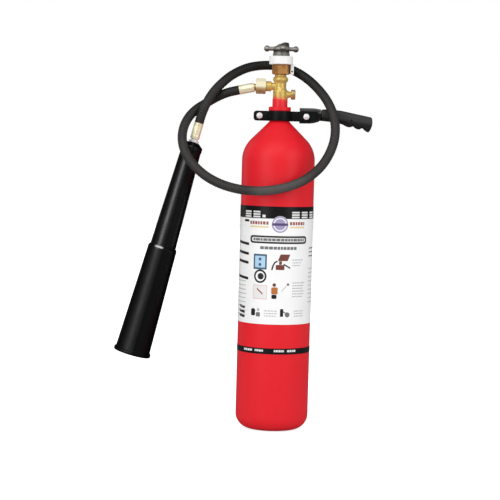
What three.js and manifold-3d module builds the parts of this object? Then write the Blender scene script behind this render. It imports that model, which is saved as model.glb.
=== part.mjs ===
// A carbon dioxide fire extinguisher: a red steel cylinder with a brass handwheel valve, a strap
// clamped carrying handle, and a rubber hose that ends in a long black discharge horn.
// Millimetres. The origin is the centre of the cylinder's flat foot and +Z is the cylinder axis.
// The carrying handle points along +X, the valve outlet along -X, and the label faces -Y.

import * as THREE from "three";
import { mergeVertices } from "three/addons/utils/BufferGeometryUtils.js";
import Module from "manifold-3d";

const wasm = await Module();
wasm.setup();

// ---------------------------------------------------------------- driving dimensions

const GAP = 0.3; // clearance between pieces that touch on the real object
const SIDES = 18; // facets round a small turned piece
const THIN_SIDES = 12; // facets round a bolt, pin or small hole

// pressure cylinder
const SHELL_R = 70;
const WALL = 5;
const BASE_THICKNESS = 8;
const FOOT_R = 42;
const KNUCKLE_R = SHELL_R - FOOT_R;
const WALL_TOP = 517; // where the straight wall meets the shoulder
const SHOULDER_R = 58; // radius of the shoulder's arc
const SHOULDER_ANGLE = Math.PI / 4; // the arc runs into a 45 degree cone
const NECK_R = 17;
const NECK_FOOT_R = 19;
const NECK_TOP = 616;
const NECK_BORE_R = 13.1;
const ROUND = 36; // facets round the cylinder and its label

// label and band on the wall: lowest and highest edge
const LABEL_Z = [207.7, 431];
const BAND_Z = [151, 162];
const LABEL_THICKNESS = 0.3;

// neck ring
const RING_Z = [594.2, 620];
const RING_R = 20.4;
const RING_LIP_R = 21.3;
const RING_LIP_Z = 612.3;

// valve
const VALVE_SHANK_Z = 588;
const VALVE_COLLAR_R = 14.5;
const VALVE_COLLAR_TOP = 635;
const VALVE_BARREL_R = 13.9;
const VALVE_BARREL_TOP = 651;
const VALVE_WAIST_R = 11;
const VALVE_WAIST_Z = [656.5, 666];
const VALVE_SHOULDER_R = 14.5;
const VALVE_SHOULDER_Z = [670, 674.5];
const VALVE_HEAD_R = 10.6;
const VALVE_TOP = 681.7;
const TAPER_R = 12.5; // radius half way down the tapers on both sides of the waist
const CHAMBER_R = 8;
const SEAT_Z = 653.2;
const SEAT_BORE_R = 3.5;
const OUTLET_Z = 659;
const OUTLET_NECK_R = 7;
const OUTLET_COLLAR_R = 9.7;
const OUTLET_COLLAR_X = [-27.5, -17];
const OUTLET_SPIGOT_R = 9;
const OUTLET_SPIGOT_X = -33.8;
const OUTLET_BORE_R = 4.5;
const SAFETY_Z = 644;
const SAFETY_STUB_R = 5.7;
const SAFETY_STUB_X = 22.3;
const SAFETY_BORE_R = 2.5;
const SAFETY_CAP_R = 9.5;
const SAFETY_CAP_X = [20.5, 29];
const SAFETY_POCKET_X = 24.4; // where the cap's pocket ends
const SAFETY_VENT_R = 1.6;
const BURST_DISC_X = [23.6, 24.1];
const DISC_WASHER_X = [22.6, 23.3];

// gland, spindle and plug
const GLAND_Z = [682, 700.6];
const GLAND_FLATS = 30;
const GLAND_TURN = THREE.MathUtils.degToRad(12);
const GLAND_POCKET_Z = 693;
const GLAND_POCKET_R = 7;
const PACKING_TOP = 697;
const FOLLOWER_TOP = 700;
const SPINDLE_R = 4;
const SPINDLE_COLLAR_Z = [671, 674.2];
const SPINDLE_COLLAR_R = 6.5;
const SPINDLE_TOP = 739.4;
const TONGUE = [10, 2.3]; // width and thickness of the spindle's drive tongue
const TONGUE_LOW = 664;
const PLUG_Z = [655.3, 666.3];
const PLUG_R = 7.6;
const PLUG_SLOT_Z = 658.3;
const SEAL_R = 5.5;
const DIP_TUBE_R = [4.2, 6];
const DIP_TUBE_LOW = 22;

// tamper collar and handwheel
const COLLAR_Z = [700.9, 716.7];
const COLLAR_R = 22.7;
const COLLAR_WALL_R = 12; // inside radius of the collar's thick part
const COLLAR_MOUTH_R = 9;
const LUG_X = [18.4, 24.8]; // the lug that takes the tamper wire
const LUG_LOW = 682;
const WIRE_HOLE_Z = 688;
const WHEEL_Z = [717, 734.5]; // underside, and the floor of the nut's pocket
const WHEEL_SKIRT_R = 16.5;
const WHEEL_SKIRT_TOP = 725;
const WHEEL_CROWN_R = 14.8;
const WHEEL_CROWN_Z = [728, 743];
const WHEEL_CROWN_EDGE = 3;
const WHEEL_SLOPE = THREE.MathUtils.degToRad(24); // the crown's top falls away on one side
const WHEEL_SLOPE_FROM_X = 5.5;
const WHEEL_POCKET_R = 8.6;
const WHEEL_ARMS = 4;
const WHEEL_ARM_TURN = THREE.MathUtils.degToRad(5);
const WHEEL_ARM_Z = 730.7;
const WHEEL_KNOB_R = 6;
const WHEEL_KNOB_AT = 27.6;
const WHEEL_ARM_FROM = 10;
const WHEEL_ARM_SIZE = [9, 7.6]; // width and height
const WHEEL_NUT_FLATS = 13;
const WHEEL_NUT_TOP = 740;

// hose and its ferrules
const HOSE_R = 9;
const HOSE_SIDES = 10;
const HOSE_STEPS = 46;
const FERRULE_R = 9;
const OUTLET_TILT = THREE.MathUtils.degToRad(12); // the hose end leaves the outlet 12 degrees down
const BALL_X = -38; // centre of the nipple's ball seat
const UNION_NUT_X = [-47, -28];
const UNION_NUT_FLATS = 26;
const UNION_THREAD_END = -41; // where the nut's threaded bore meets its ball seat
const UNION_NECK_R = 8.4;
const NIPPLE_BALL_R = 9;
const NIPPLE_STEM_R = 5.8;
const NIPPLE_BORE_R = 3;
const NIPPLE_END = 24; // distance out from the ball's centre
const VALVE_FERRULE_AT = [12, 42.1]; // distances out from the ball's centre
const HOSE_ROUTE = [
  [-80.2, 0, 650.1], [-96.5, 1, 646.3], [-112.3, 4.6, 640.5], [-128, 6.8, 632.3],
  [-143.6, 4.6, 622.6], [-159.7, -1.5, 611.4], [-172.5, -10.5, 597.4], [-181, -22.5, 580.4],
  [-184.3, -36, 560.7], [-181.3, -48.5, 540], [-171.7, -58, 519.3], [-155.5, -66.5, 500.2],
  [-133.3, -74, 483.2], [-105.5, -80, 470.2], [-73, -84, 462.2], [-40, -86, 460],
  [-6.5, -86, 463.2], [25.8, -83, 472], [55.7, -76, 487.2], [79.8, -66, 509],
  [96, -54.5, 535], [104.4, -43.5, 561.5], [105.4, -34, 587], [100, -24.5, 611.6],
  [89.2, -13, 634.2], [73.6, 0.5, 654.8], [53.4, 14.5, 674.1], [30.2, 27, 689],
  [5, 35, 697.7], [-20, 38, 701], [-43, 36, 699.5], [-62, 30.5, 695.3],
  [-80, 21.5, 687.3], [-97.5, 10.5, 676], [-113.3, -1, 661.5], [-126.8, -10, 645.8],
  [-137.2, -15, 629.3], [-144.8, -16, 613], [-150, -13.9, 599], [-153.3, -12, 586.9],
];

// horn: its own frame starts at the top of the horn ferrule and runs down its leaning axis
const HORN_TOP = [-153.7, -12, 585.4];
const HORN_LEAN = THREE.MathUtils.degToRad(14.96);
const HORN_FERRULE_LENGTH = 32;
const HORN_COLLAR_AT = [32.3, 38.6];
const HORN_HEAD_AT = 39; // distance down the axis from the ferrule's top to the horn's head
const HORN_LENGTH = 423;
const HORN_JOINT_AT = 213; // where the lower part's shoulder meets the upper part
const HORN_SPIGOT = 14; // how far the upper part enters the lower part
const HORN_BORE_R = 6.5;
const HORN_BEAD_R = 20.3;
const HORN_HEAD_R = 19.5;
const HORN_UPPER_END_R = 25;
const HORN_LOWER_R = [27.6, 33.5];
const HORN_RIM_R = 36.2;
const HORN_WALL = 2.6;
const HORN_SIDES = 24;

// carrying handle and its strap clamp
const STRAP_Z = [593, 612];
const STRAP_MID_Z = (STRAP_Z[0] + STRAP_Z[1]) / 2;
const STRAP_THICKNESS = 3;
const STRAP_RING_R = 20.9; // inside radius of the two half rings
const STRAP_X = [-50, 58];
const LEFT_BOLT_X = -38.5;
const RIGHT_BOLT_X = 51.2;
const LEFT_HALF_GAP = 1.5; // half the gap between the ears on the left
const RIGHT_HALF_GAP = 3;
const BOLT_R = 3;
const BOLT_FLATS = 11;
const BOLT_HEAD = 4;
const WASHER_R = 6.4;
const WASHER_THICKNESS = 1.2;
const NUT_THICKNESS = 5;
const FRAME_X = [38, 80];
const FRAME_Z = [589.5, 619];
const FRAME_SLOPE = [12, 2.2]; // length and fall of the slope at the end of its top
const FRAME_WEB = 5.2;
const FRAME_DEPTH = 18;
const FLANGE = 2.6;
const TANG_FROM_X = 77;
const TANG_END_X = 168;
const TANG_THICKNESS = 6;
const TANG_Z = [595.5, 611.5]; // lower and upper edge at the frame
const TANG_END_Z = [588.5, 600.5]; // and at the far end
const GRIP_DEPTH = 22;
const GRIP_PINS_X = [98, 138];
const GRIP_PIN_R = 2;

// ---------------------------------------------------------------- materials

function finish(color, roughness, metalness) {
  return new THREE.MeshStandardMaterial({ color, roughness, metalness });
}

const redPaint = finish(0xd8222b, 0.3, 0);
const blackPaint = finish(0x15171a, 0.4, 0.2);
const labelFilm = finish(0xf2f2f0, 0.45, 0);
const brass = finish(0xd9a84a, 0.3, 1);
const paleGold = finish(0xd8c79a, 0.28, 1);
const copper = finish(0xb8734a, 0.35, 1);
const brightZinc = finish(0xdcdde0, 0.25, 1);
const castGrey = finish(0x8d8984, 0.45, 0.8);
const whitePlastic = finish(0xeeeeea, 0.4, 0);
const nylon = finish(0xd9d4c4, 0.5, 0);
const hoseRubber = finish(0x2b2c2d, 0.75, 0);
const hornPlastic = finish(0x121314, 0.3, 0);
const gripPlastic = finish(0x303133, 0.65, 0);

// ---------------------------------------------------------------- shape helpers

// A manifold-3d solid from a closed three.js geometry.
function solid(geometry) {
  const bare = geometry.clone();
  bare.deleteAttribute("normal");
  bare.deleteAttribute("uv");
  const merged = mergeVertices(bare, 1e-4);
  const mesh = new wasm.Mesh({
    numProp: 3,
    vertProperties: merged.attributes.position.array,
    triVerts: new Uint32Array(merged.index.array),
  });
  return new wasm.Manifold(mesh);
}

// A three.js geometry from a manifold-3d solid.
function geometryOf(shape) {
  const mesh = shape.getMesh();
  const geometry = new THREE.BufferGeometry();
  geometry.setAttribute("position", new THREE.BufferAttribute(mesh.vertProperties, 3));
  geometry.setIndex(new THREE.BufferAttribute(mesh.triVerts, 1));
  return geometry;
}

// A closed solid turned about Z from [radius, z] points.
function turned(profile, sides = SIDES) {
  const points = profile.map(([r, z]) => new THREE.Vector2(r, z));
  const geometry = new THREE.LatheGeometry(points, sides);
  geometry.rotateX(Math.PI / 2);
  return solid(geometry);
}

// A washer, bush or sleeve about Z.
function sleeve(inner, outer, low, high, sides = SIDES) {
  return turned([[inner, low], [outer, low], [outer, high], [inner, high], [inner, low]], sides);
}

function rod(radius, low, high, sides = SIDES) {
  return turned([[0, low], [radius, low], [radius, high], [0, high]], sides);
}

// A hexagonal prism about Z, with a corner in the direction of turn.
function hexagon(flats, low, high, turn = 0) {
  const corner = flats / Math.sqrt(3);
  const geometry = new THREE.CylinderGeometry(corner, corner, high - low, 6);
  geometry.rotateX(Math.PI / 2);
  geometry.rotateZ(Math.PI / 2 + turn);
  geometry.translate(0, 0, (low + high) / 2);
  return solid(geometry);
}

function block([x0, x1], [y0, y1], [z0, z1]) {
  const geometry = new THREE.BoxGeometry(x1 - x0, y1 - y0, z1 - z0);
  geometry.translate((x0 + x1) / 2, (y0 + y1) / 2, (z0 + z1) / 2);
  return solid(geometry);
}

// The points of an arc about [r, z], with both ends, as turned() takes them.
function arc([cr, cz], radius, from, to, steps) {
  const points = [];
  for (let i = 0; i <= steps; i++) {
    const a = from + ((to - from) * i) / steps;
    points.push([cr + radius * Math.cos(a), cz + radius * Math.sin(a)]);
  }
  return points;
}

// A solid made about Z, laid along +X with its z = 0 at [x, y, z].
function alongX(shape, [x, y, z], turn = 0) {
  const place = new THREE.Matrix4()
    .makeTranslation(x, y, z)
    .multiply(new THREE.Matrix4().makeRotationY(Math.PI / 2))
    .multiply(new THREE.Matrix4().makeRotationZ(turn));
  return shape.transform(place.elements);
}

// A solid made about Z, laid along -Y (towards the label side) with its z = 0 at [x, y, z].
function alongMinusY(shape, [x, y, z]) {
  const place = new THREE.Matrix4()
    .makeTranslation(x, y, z)
    .multiply(new THREE.Matrix4().makeRotationX(Math.PI / 2));
  return shape.transform(place.elements);
}

function part(group, name, shape, material) {
  const mesh = new THREE.Mesh(geometryOf(shape), material);
  mesh.name = name;
  group.add(mesh);
  return mesh;
}

// ---------------------------------------------------------------- pressure cylinder

function shellOutline() {
  const quarter = Math.PI / 2;
  const arcCentre = [SHELL_R - SHOULDER_R, WALL_TOP];
  const innerArc = SHOULDER_R - WALL;
  const outside = [
    [0, 0],
    ...arc([FOOT_R, KNUCKLE_R], KNUCKLE_R, -quarter, 0, 5),
    ...arc(arcCentre, SHOULDER_R, 0, SHOULDER_ANGLE, 5),
  ];
  const [coneR, coneZ] = outside.at(-1);
  outside.push([NECK_FOOT_R, coneZ + coneR - NECK_FOOT_R]);
  outside.push([NECK_R, coneZ + coneR - NECK_FOOT_R + 2]);
  outside.push([NECK_R, NECK_TOP]);
  const shoulderInside = arc(arcCentre, innerArc, SHOULDER_ANGLE, 0, 3);
  const [innerR, innerZ] = shoulderInside[0];
  const knuckleInside = KNUCKLE_R - WALL;
  const inside = [
    [NECK_BORE_R, NECK_TOP],
    [NECK_BORE_R, innerZ + innerR - NECK_BORE_R],
    ...shoulderInside,
    ...arc([FOOT_R, BASE_THICKNESS + knuckleInside], knuckleInside, 0, -quarter, 3),
    [0, BASE_THICKNESS],
  ];
  return [...outside, ...inside];
}

function buildCylinder() {
  const group = new THREE.Group();
  const skin = SHELL_R + GAP;
  part(group, "cylinder_shell", turned(shellOutline(), ROUND), redPaint);
  const label = sleeve(skin, skin + LABEL_THICKNESS, ...LABEL_Z, ROUND);
  part(group, "label_sleeve", label, labelFilm);
  const band = sleeve(skin, skin + LABEL_THICKNESS, ...BAND_Z, ROUND);
  part(group, "lower_label_band", band, blackPaint);

  const ringRim = NECK_TOP + GAP;
  const ring = turned([
    [NECK_R + GAP, RING_Z[0]],
    [RING_R, RING_Z[0]],
    [RING_R, RING_LIP_Z],
    [RING_LIP_R, RING_LIP_Z],
    [RING_LIP_R, RING_Z[1]],
    [VALVE_COLLAR_R + GAP, RING_Z[1]],
    [VALVE_COLLAR_R + GAP, ringRim],
    [NECK_R + GAP, ringRim],
    [NECK_R + GAP, RING_Z[0]],
  ], 24);
  part(group, "neck_ring", ring, redPaint);
  return group;
}

// ---------------------------------------------------------------- valve

function valveBody() {
  const body = turned([
    [SEAT_BORE_R, VALVE_SHANK_Z],
    [NECK_BORE_R - GAP, VALVE_SHANK_Z],
    [NECK_BORE_R - GAP, NECK_TOP + GAP],
    [VALVE_COLLAR_R, NECK_TOP + GAP],
    [VALVE_COLLAR_R, VALVE_COLLAR_TOP],
    [VALVE_BARREL_R, VALVE_COLLAR_TOP + 1],
    [VALVE_BARREL_R, VALVE_BARREL_TOP],
    [TAPER_R, VALVE_WAIST_Z[0] - 2],
    [VALVE_WAIST_R, VALVE_WAIST_Z[0]],
    [VALVE_WAIST_R, VALVE_WAIST_Z[1]],
    [TAPER_R, VALVE_WAIST_Z[1] + 2],
    [VALVE_SHOULDER_R, VALVE_SHOULDER_Z[0]],
    [VALVE_SHOULDER_R, VALVE_SHOULDER_Z[1]],
    [TAPER_R, VALVE_SHOULDER_Z[1] + 2.5],
    [VALVE_HEAD_R, VALVE_SHOULDER_Z[1] + 4],
    [VALVE_HEAD_R, VALVE_TOP],
    [CHAMBER_R, VALVE_TOP],
    [CHAMBER_R, SEAT_Z],
    [SEAT_BORE_R, SEAT_Z],
    [SEAT_BORE_R, VALVE_SHANK_Z],
  ], 20);

  const outletRoot = -8.8; // inside the waist's wall, clear of the chamber
  const outlet = alongX(rod(OUTLET_NECK_R, OUTLET_COLLAR_X[0], outletRoot), [0, 0, OUTLET_Z])
    .add(alongX(rod(OUTLET_COLLAR_R, ...OUTLET_COLLAR_X), [0, 0, OUTLET_Z]))
    .add(alongX(rod(OUTLET_SPIGOT_R, OUTLET_SPIGOT_X, OUTLET_COLLAR_X[0] + 1), [0, 0, OUTLET_Z]));
  const outletBore = alongX(rod(OUTLET_BORE_R, OUTLET_SPIGOT_X - 1, 0), [0, 0, OUTLET_Z]);

  const safetyRoot = 5; // inside the body's wall, clear of the riser bore
  const safety = alongX(rod(SAFETY_STUB_R, safetyRoot, SAFETY_STUB_X), [0, 0, SAFETY_Z]);
  const safetyBore = alongX(rod(SAFETY_BORE_R, 0, SAFETY_STUB_X + 1, THIN_SIDES), [0, 0, SAFETY_Z]);
  return body.add(outlet).add(safety).subtract(outletBore).subtract(safetyBore);
}

function glandNut() {
  const bore = SPINDLE_R + GAP;
  const spigot = rod(CHAMBER_R - GAP, SPINDLE_COLLAR_Z[1] + GAP, GLAND_Z[0] + 1);
  return hexagon(GLAND_FLATS, ...GLAND_Z, GLAND_TURN)
    .add(spigot)
    .subtract(rod(bore, SPINDLE_COLLAR_Z[1], GLAND_Z[1] + 1))
    .subtract(rod(GLAND_POCKET_R, GLAND_POCKET_Z, GLAND_Z[1] + 1));
}

function spindle() {
  const stem = turned([
    [0, SPINDLE_COLLAR_Z[0]],
    [SPINDLE_COLLAR_R, SPINDLE_COLLAR_Z[0]],
    [SPINDLE_COLLAR_R, SPINDLE_COLLAR_Z[1]],
    [SPINDLE_R, SPINDLE_COLLAR_Z[1]],
    [SPINDLE_R, SPINDLE_TOP - 1],
    [SPINDLE_R - 1, SPINDLE_TOP],
    [0, SPINDLE_TOP],
  ]);
  const [width, thickness] = TONGUE;
  const tongue = block(
    [-width / 2, width / 2],
    [-thickness / 2, thickness / 2],
    [TONGUE_LOW, SPINDLE_COLLAR_Z[0] + 1],
  );
  return stem.add(tongue);
}

function valvePlug() {
  const slot = TONGUE[1] / 2 + GAP;
  const reach = PLUG_R + 1;
  return rod(PLUG_R, ...PLUG_Z)
    .subtract(block([-reach, reach], [-slot, slot], [PLUG_SLOT_Z, PLUG_Z[1] + 1]));
}

function safetyCap() {
  const [inner, outer] = SAFETY_CAP_X;
  const chamfer = 1.4;
  const cap = turned([
    [0, inner],
    [SAFETY_CAP_R - chamfer, inner],
    [SAFETY_CAP_R, inner + chamfer],
    [SAFETY_CAP_R, outer - chamfer],
    [SAFETY_CAP_R - chamfer, outer],
    [0, outer],
  ]);
  const hollow = rod(SAFETY_STUB_R + GAP, inner - 1, SAFETY_POCKET_X);
  const vent = rod(SAFETY_VENT_R, SAFETY_POCKET_X - 1, outer + 1, THIN_SIDES);
  return alongX(cap.subtract(hollow).subtract(vent), [0, 0, SAFETY_Z]);
}

function buildValve() {
  const group = new THREE.Group();
  part(group, "valve_body", valveBody(), brass);
  part(group, "valve_plug", valvePlug(), brass);
  part(group, "plug_seal", rod(SEAL_R, SEAT_Z + GAP, PLUG_Z[0] - GAP), nylon);
  part(group, "gland_nut", glandNut(), copper);
  const packing = [SPINDLE_R + GAP, GLAND_POCKET_R - GAP];
  part(group, "gland_packing", sleeve(...packing, GLAND_POCKET_Z + GAP, PACKING_TOP), nylon);
  part(group, "packing_follower", sleeve(...packing, PACKING_TOP + GAP, FOLLOWER_TOP), brass);
  part(group, "spindle", spindle(), brightZinc);

  part(group, "safety_cap", safetyCap(), brass);
  const disc = alongX(rod(SAFETY_STUB_R, ...BURST_DISC_X), [0, 0, SAFETY_Z]);
  part(group, "burst_disc", disc, copper);
  const washer = alongX(sleeve(SAFETY_BORE_R + 0.5, SAFETY_STUB_R, ...DISC_WASHER_X), [0, 0, SAFETY_Z]);
  part(group, "disc_washer", washer, copper);

  // the dip tube reaches from inside the valve's shank nearly to the cylinder's base
  const dipTop = VALVE_SHANK_Z - GAP;
  const dipTube = sleeve(...DIP_TUBE_R, DIP_TUBE_LOW, dipTop, THIN_SIDES);
  part(group, "dip_tube", dipTube, brightZinc);
  return group;
}

// ---------------------------------------------------------------- tamper collar and handwheel

function tamperCollar() {
  const [low, high] = COLLAR_Z;
  const roof = high - 2.5; // underside of the collar's top
  const cup = turned([
    [COLLAR_WALL_R, low],
    [COLLAR_R - 1, low],
    [COLLAR_R, low + 1],
    [COLLAR_R, high - 1.5],
    [COLLAR_R - 1.5, high],
    [COLLAR_MOUTH_R, high],
    [COLLAR_MOUTH_R, roof],
    [COLLAR_WALL_R, roof],
    [COLLAR_WALL_R, low],
  ], 24);
  const lug = block(LUG_X, [-1.5, 1.5], [LUG_LOW, low + 2]);
  const lugMiddle = (LUG_X[0] + LUG_X[1]) / 2;
  const wireHole = alongMinusY(rod(1.6, -3, 3, THIN_SIDES), [lugMiddle, 0, WIRE_HOLE_Z]);
  return cup.add(lug).subtract(wireHole);
}

function handwheel() {
  const [low, pocketFloor] = WHEEL_Z;
  const bore = SPINDLE_R + GAP;
  const [crownLow, crownHigh] = WHEEL_CROWN_Z;
  const edgeCentre = [WHEEL_CROWN_R - WHEEL_CROWN_EDGE, crownHigh - WHEEL_CROWN_EDGE];
  const crownEdge = arc(edgeCentre, WHEEL_CROWN_EDGE, 0, Math.PI / 2, 3);
  const [armWidth, armHeight] = WHEEL_ARM_SIZE;
  const hub = turned([
    [bore, low],
    [WHEEL_SKIRT_R - 1, low],
    [WHEEL_SKIRT_R, low + 1],
    [WHEEL_SKIRT_R - 1.5, WHEEL_SKIRT_TOP],
    [WHEEL_CROWN_R, crownLow],
    ...crownEdge,
    [WHEEL_POCKET_R, crownHigh],
    [WHEEL_POCKET_R, pocketFloor],
    [bore, pocketFloor],
    [bore, low],
  ], 20);
  const slope = new THREE.BoxGeometry(60, 60, 20);
  slope.translate(-30, 0, 10);
  slope.rotateY(-WHEEL_SLOPE);
  slope.translate(WHEEL_SLOPE_FROM_X, 0, crownHigh);
  let wheel = hub.subtract(solid(slope));
  for (let i = 0; i < WHEEL_ARMS; i++) {
    const angle = WHEEL_ARM_TURN + (i * 2 * Math.PI) / WHEEL_ARMS;
    const arm = new THREE.BoxGeometry(WHEEL_KNOB_AT - WHEEL_ARM_FROM, armWidth, armHeight);
    arm.translate((WHEEL_KNOB_AT + WHEEL_ARM_FROM) / 2, 0, WHEEL_ARM_Z);
    arm.rotateZ(angle);
    const knob = new THREE.SphereGeometry(WHEEL_KNOB_R, 10, 7);
    knob.translate(WHEEL_KNOB_AT, 0, WHEEL_ARM_Z);
    knob.rotateZ(angle);
    wheel = wheel.add(solid(arm)).add(solid(knob));
  }
  return wheel;
}

function buildHandwheel() {
  const group = new THREE.Group();
  part(group, "tamper_collar", tamperCollar(), whitePlastic);
  part(group, "handwheel", handwheel(), castGrey);
  const bore = SPINDLE_R + GAP;
  const washerLow = WHEEL_Z[1] + GAP;
  const washerTop = washerLow + 1;
  const washerR = WHEEL_POCKET_R - 0.8;
  part(group, "wheel_washer", sleeve(bore, washerR, washerLow, washerTop), brightZinc);
  const nut = hexagon(WHEEL_NUT_FLATS, washerTop + GAP, WHEEL_NUT_TOP)
    .subtract(rod(bore, washerTop, WHEEL_NUT_TOP + 1));
  part(group, "wheel_nut", nut, brightZinc);
  return group;
}

// ---------------------------------------------------------------- hose and its valve end

function unionNut() {
  const [outer, inner] = UNION_NUT_X;
  const threadR = OUTLET_SPIGOT_R + 0.4;
  const seatEnd = UNION_THREAD_END + 0.1; // the two cuts overlap a little
  const thread = rod(threadR, UNION_THREAD_END, inner + 1);
  const seat = turned([
    [0, outer - 1],
    [UNION_NECK_R, outer - 1],
    [UNION_NECK_R, UNION_THREAD_END - 2.5],
    [threadR, seatEnd],
    [0, seatEnd],
  ]);
  const nut = hexagon(UNION_NUT_FLATS, outer, inner).subtract(thread).subtract(seat);
  return alongX(nut, [0, 0, OUTLET_Z]);
}

// Pieces of the hose end, in a frame whose +Z runs out of the valve along the hose.
function buildValveEnd() {
  const ballEnd = Math.acos(NIPPLE_STEM_R / NIPPLE_BALL_R);
  const ball = arc([0, 0], NIPPLE_BALL_R, -0.22, ballEnd, 6);
  const nippleFace = ball[0][1];
  const nipple = turned([
    [NIPPLE_BORE_R, nippleFace],
    ...ball,
    [NIPPLE_STEM_R, NIPPLE_END],
    [NIPPLE_BORE_R, NIPPLE_END],
    [NIPPLE_BORE_R, nippleFace],
  ]);
  const [near, far] = VALVE_FERRULE_AT;
  const ferrule = turned([
    [NIPPLE_STEM_R + GAP, near],
    [FERRULE_R - 1, near],
    [FERRULE_R, near + 1],
    [FERRULE_R, far - 1],
    [FERRULE_R - 0.6, far],
    [NIPPLE_STEM_R + GAP, far],
    [NIPPLE_STEM_R + GAP, near],
  ]);
  const group = new THREE.Group();
  group.position.set(BALL_X, 0, OUTLET_Z);
  group.rotation.y = -Math.PI / 2 - OUTLET_TILT;
  part(group, "hose_nipple", nipple, brass);
  part(group, "ferrule_valve_end", ferrule, paleGold);
  return group;
}

function hoseTube() {
  const route = HOSE_ROUTE.map((point) => new THREE.Vector3(...point));
  const section = new THREE.Shape();
  for (let i = 0; i < HOSE_SIDES; i++) {
    const angle = (i * 2 * Math.PI) / HOSE_SIDES;
    const [x, y] = [HOSE_R * Math.cos(angle), HOSE_R * Math.sin(angle)];
    if (i === 0) section.moveTo(x, y);
    else section.lineTo(x, y);
  }
  section.closePath();
  const tube = new THREE.ExtrudeGeometry(section, {
    steps: HOSE_STEPS,
    bevelEnabled: false,
    extrudePath: new THREE.CatmullRomCurve3(route),
  });
  return solid(tube);
}

// ---------------------------------------------------------------- horn

// Turned about the horn's axis from [radius, distance down from the ferrule's top] points.
function hornTurned(profile, sides = HORN_SIDES) {
  return turned(profile.map(([r, down]) => [r, -down]).reverse(), sides);
}

function hornUpper() {
  const head = HORN_HEAD_AT;
  const joint = head + HORN_JOINT_AT;
  const end = joint + HORN_SPIGOT;
  const throat = head + 28; // the solid head ends here
  return hornTurned([
    [HORN_BORE_R, head],
    [11, head],
    [17, head + 5.5],
    [HORN_BEAD_R, head + 8],
    [HORN_BEAD_R, head + 16],
    [HORN_HEAD_R, head + 18],
    [HORN_UPPER_END_R, joint - 6],
    [HORN_UPPER_END_R, end],
    [HORN_UPPER_END_R - HORN_WALL, end],
    [HORN_UPPER_END_R - HORN_WALL, joint - 6],
    [HORN_HEAD_R - HORN_WALL, throat + 16],
    [9, throat],
    [HORN_BORE_R, throat],
    [HORN_BORE_R, head],
  ]);
}

function hornLower() {
  const joint = HORN_HEAD_AT + HORN_JOINT_AT;
  const mouth = HORN_HEAD_AT + HORN_LENGTH;
  const fit = HORN_UPPER_END_R + GAP;
  const [topR, mouthR] = HORN_LOWER_R;
  return hornTurned([
    [fit, joint - 5],
    [fit + 0.9, joint - 5],
    [fit + 1.8, joint - 4],
    [topR, joint],
    [mouthR, mouth - 8],
    [HORN_RIM_R, mouth - 6.5],
    [HORN_RIM_R, mouth - 1],
    [HORN_RIM_R - 1, mouth],
    [mouthR - HORN_WALL, mouth],
    [topR - 1, joint + HORN_SPIGOT + 2],
    [fit, joint + HORN_SPIGOT + 0.5],
    [fit, joint - 5],
  ]);
}

function buildHorn() {
  const group = new THREE.Group();
  group.position.set(...HORN_TOP);
  group.rotation.y = HORN_LEAN;
  const head = HORN_HEAD_AT;
  const [collarTop, collarEnd] = HORN_COLLAR_AT;
  const tailR = 5; // the nipple's tail inside the hose and the ferrule
  const ferruleBore = tailR + GAP;
  const threadR = HORN_BORE_R - GAP; // the nipple's end inside the horn's head
  const ferrule = hornTurned([
    [ferruleBore, 0],
    [FERRULE_R - 0.6, 0],
    [FERRULE_R, 1],
    [FERRULE_R, HORN_FERRULE_LENGTH - 1],
    [FERRULE_R - 1, HORN_FERRULE_LENGTH],
    [ferruleBore, HORN_FERRULE_LENGTH],
    [ferruleBore, 0],
  ], SIDES);
  part(group, "ferrule_horn_end", ferrule, paleGold);
  const nippleEnd = head + 14;
  const nipple = hornTurned([
    [NIPPLE_BORE_R, 8],
    [tailR, 8],
    [tailR, collarTop],
    [10, collarTop],
    [10, collarEnd],
    [threadR, collarEnd],
    [threadR, nippleEnd],
    [NIPPLE_BORE_R, nippleEnd],
    [NIPPLE_BORE_R, 8],
  ], SIDES);
  part(group, "horn_nipple", nipple, brightZinc);
  const jet = sleeve(1.5, threadR, -head - 30, -nippleEnd - 0.5, THIN_SIDES);
  part(group, "horn_jet", jet, brass);
  part(group, "horn_upper", hornUpper(), hornPlastic);
  part(group, "horn_lower", hornLower(), hornPlastic);
  return group;
}

// ---------------------------------------------------------------- strap clamp and handle

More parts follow.
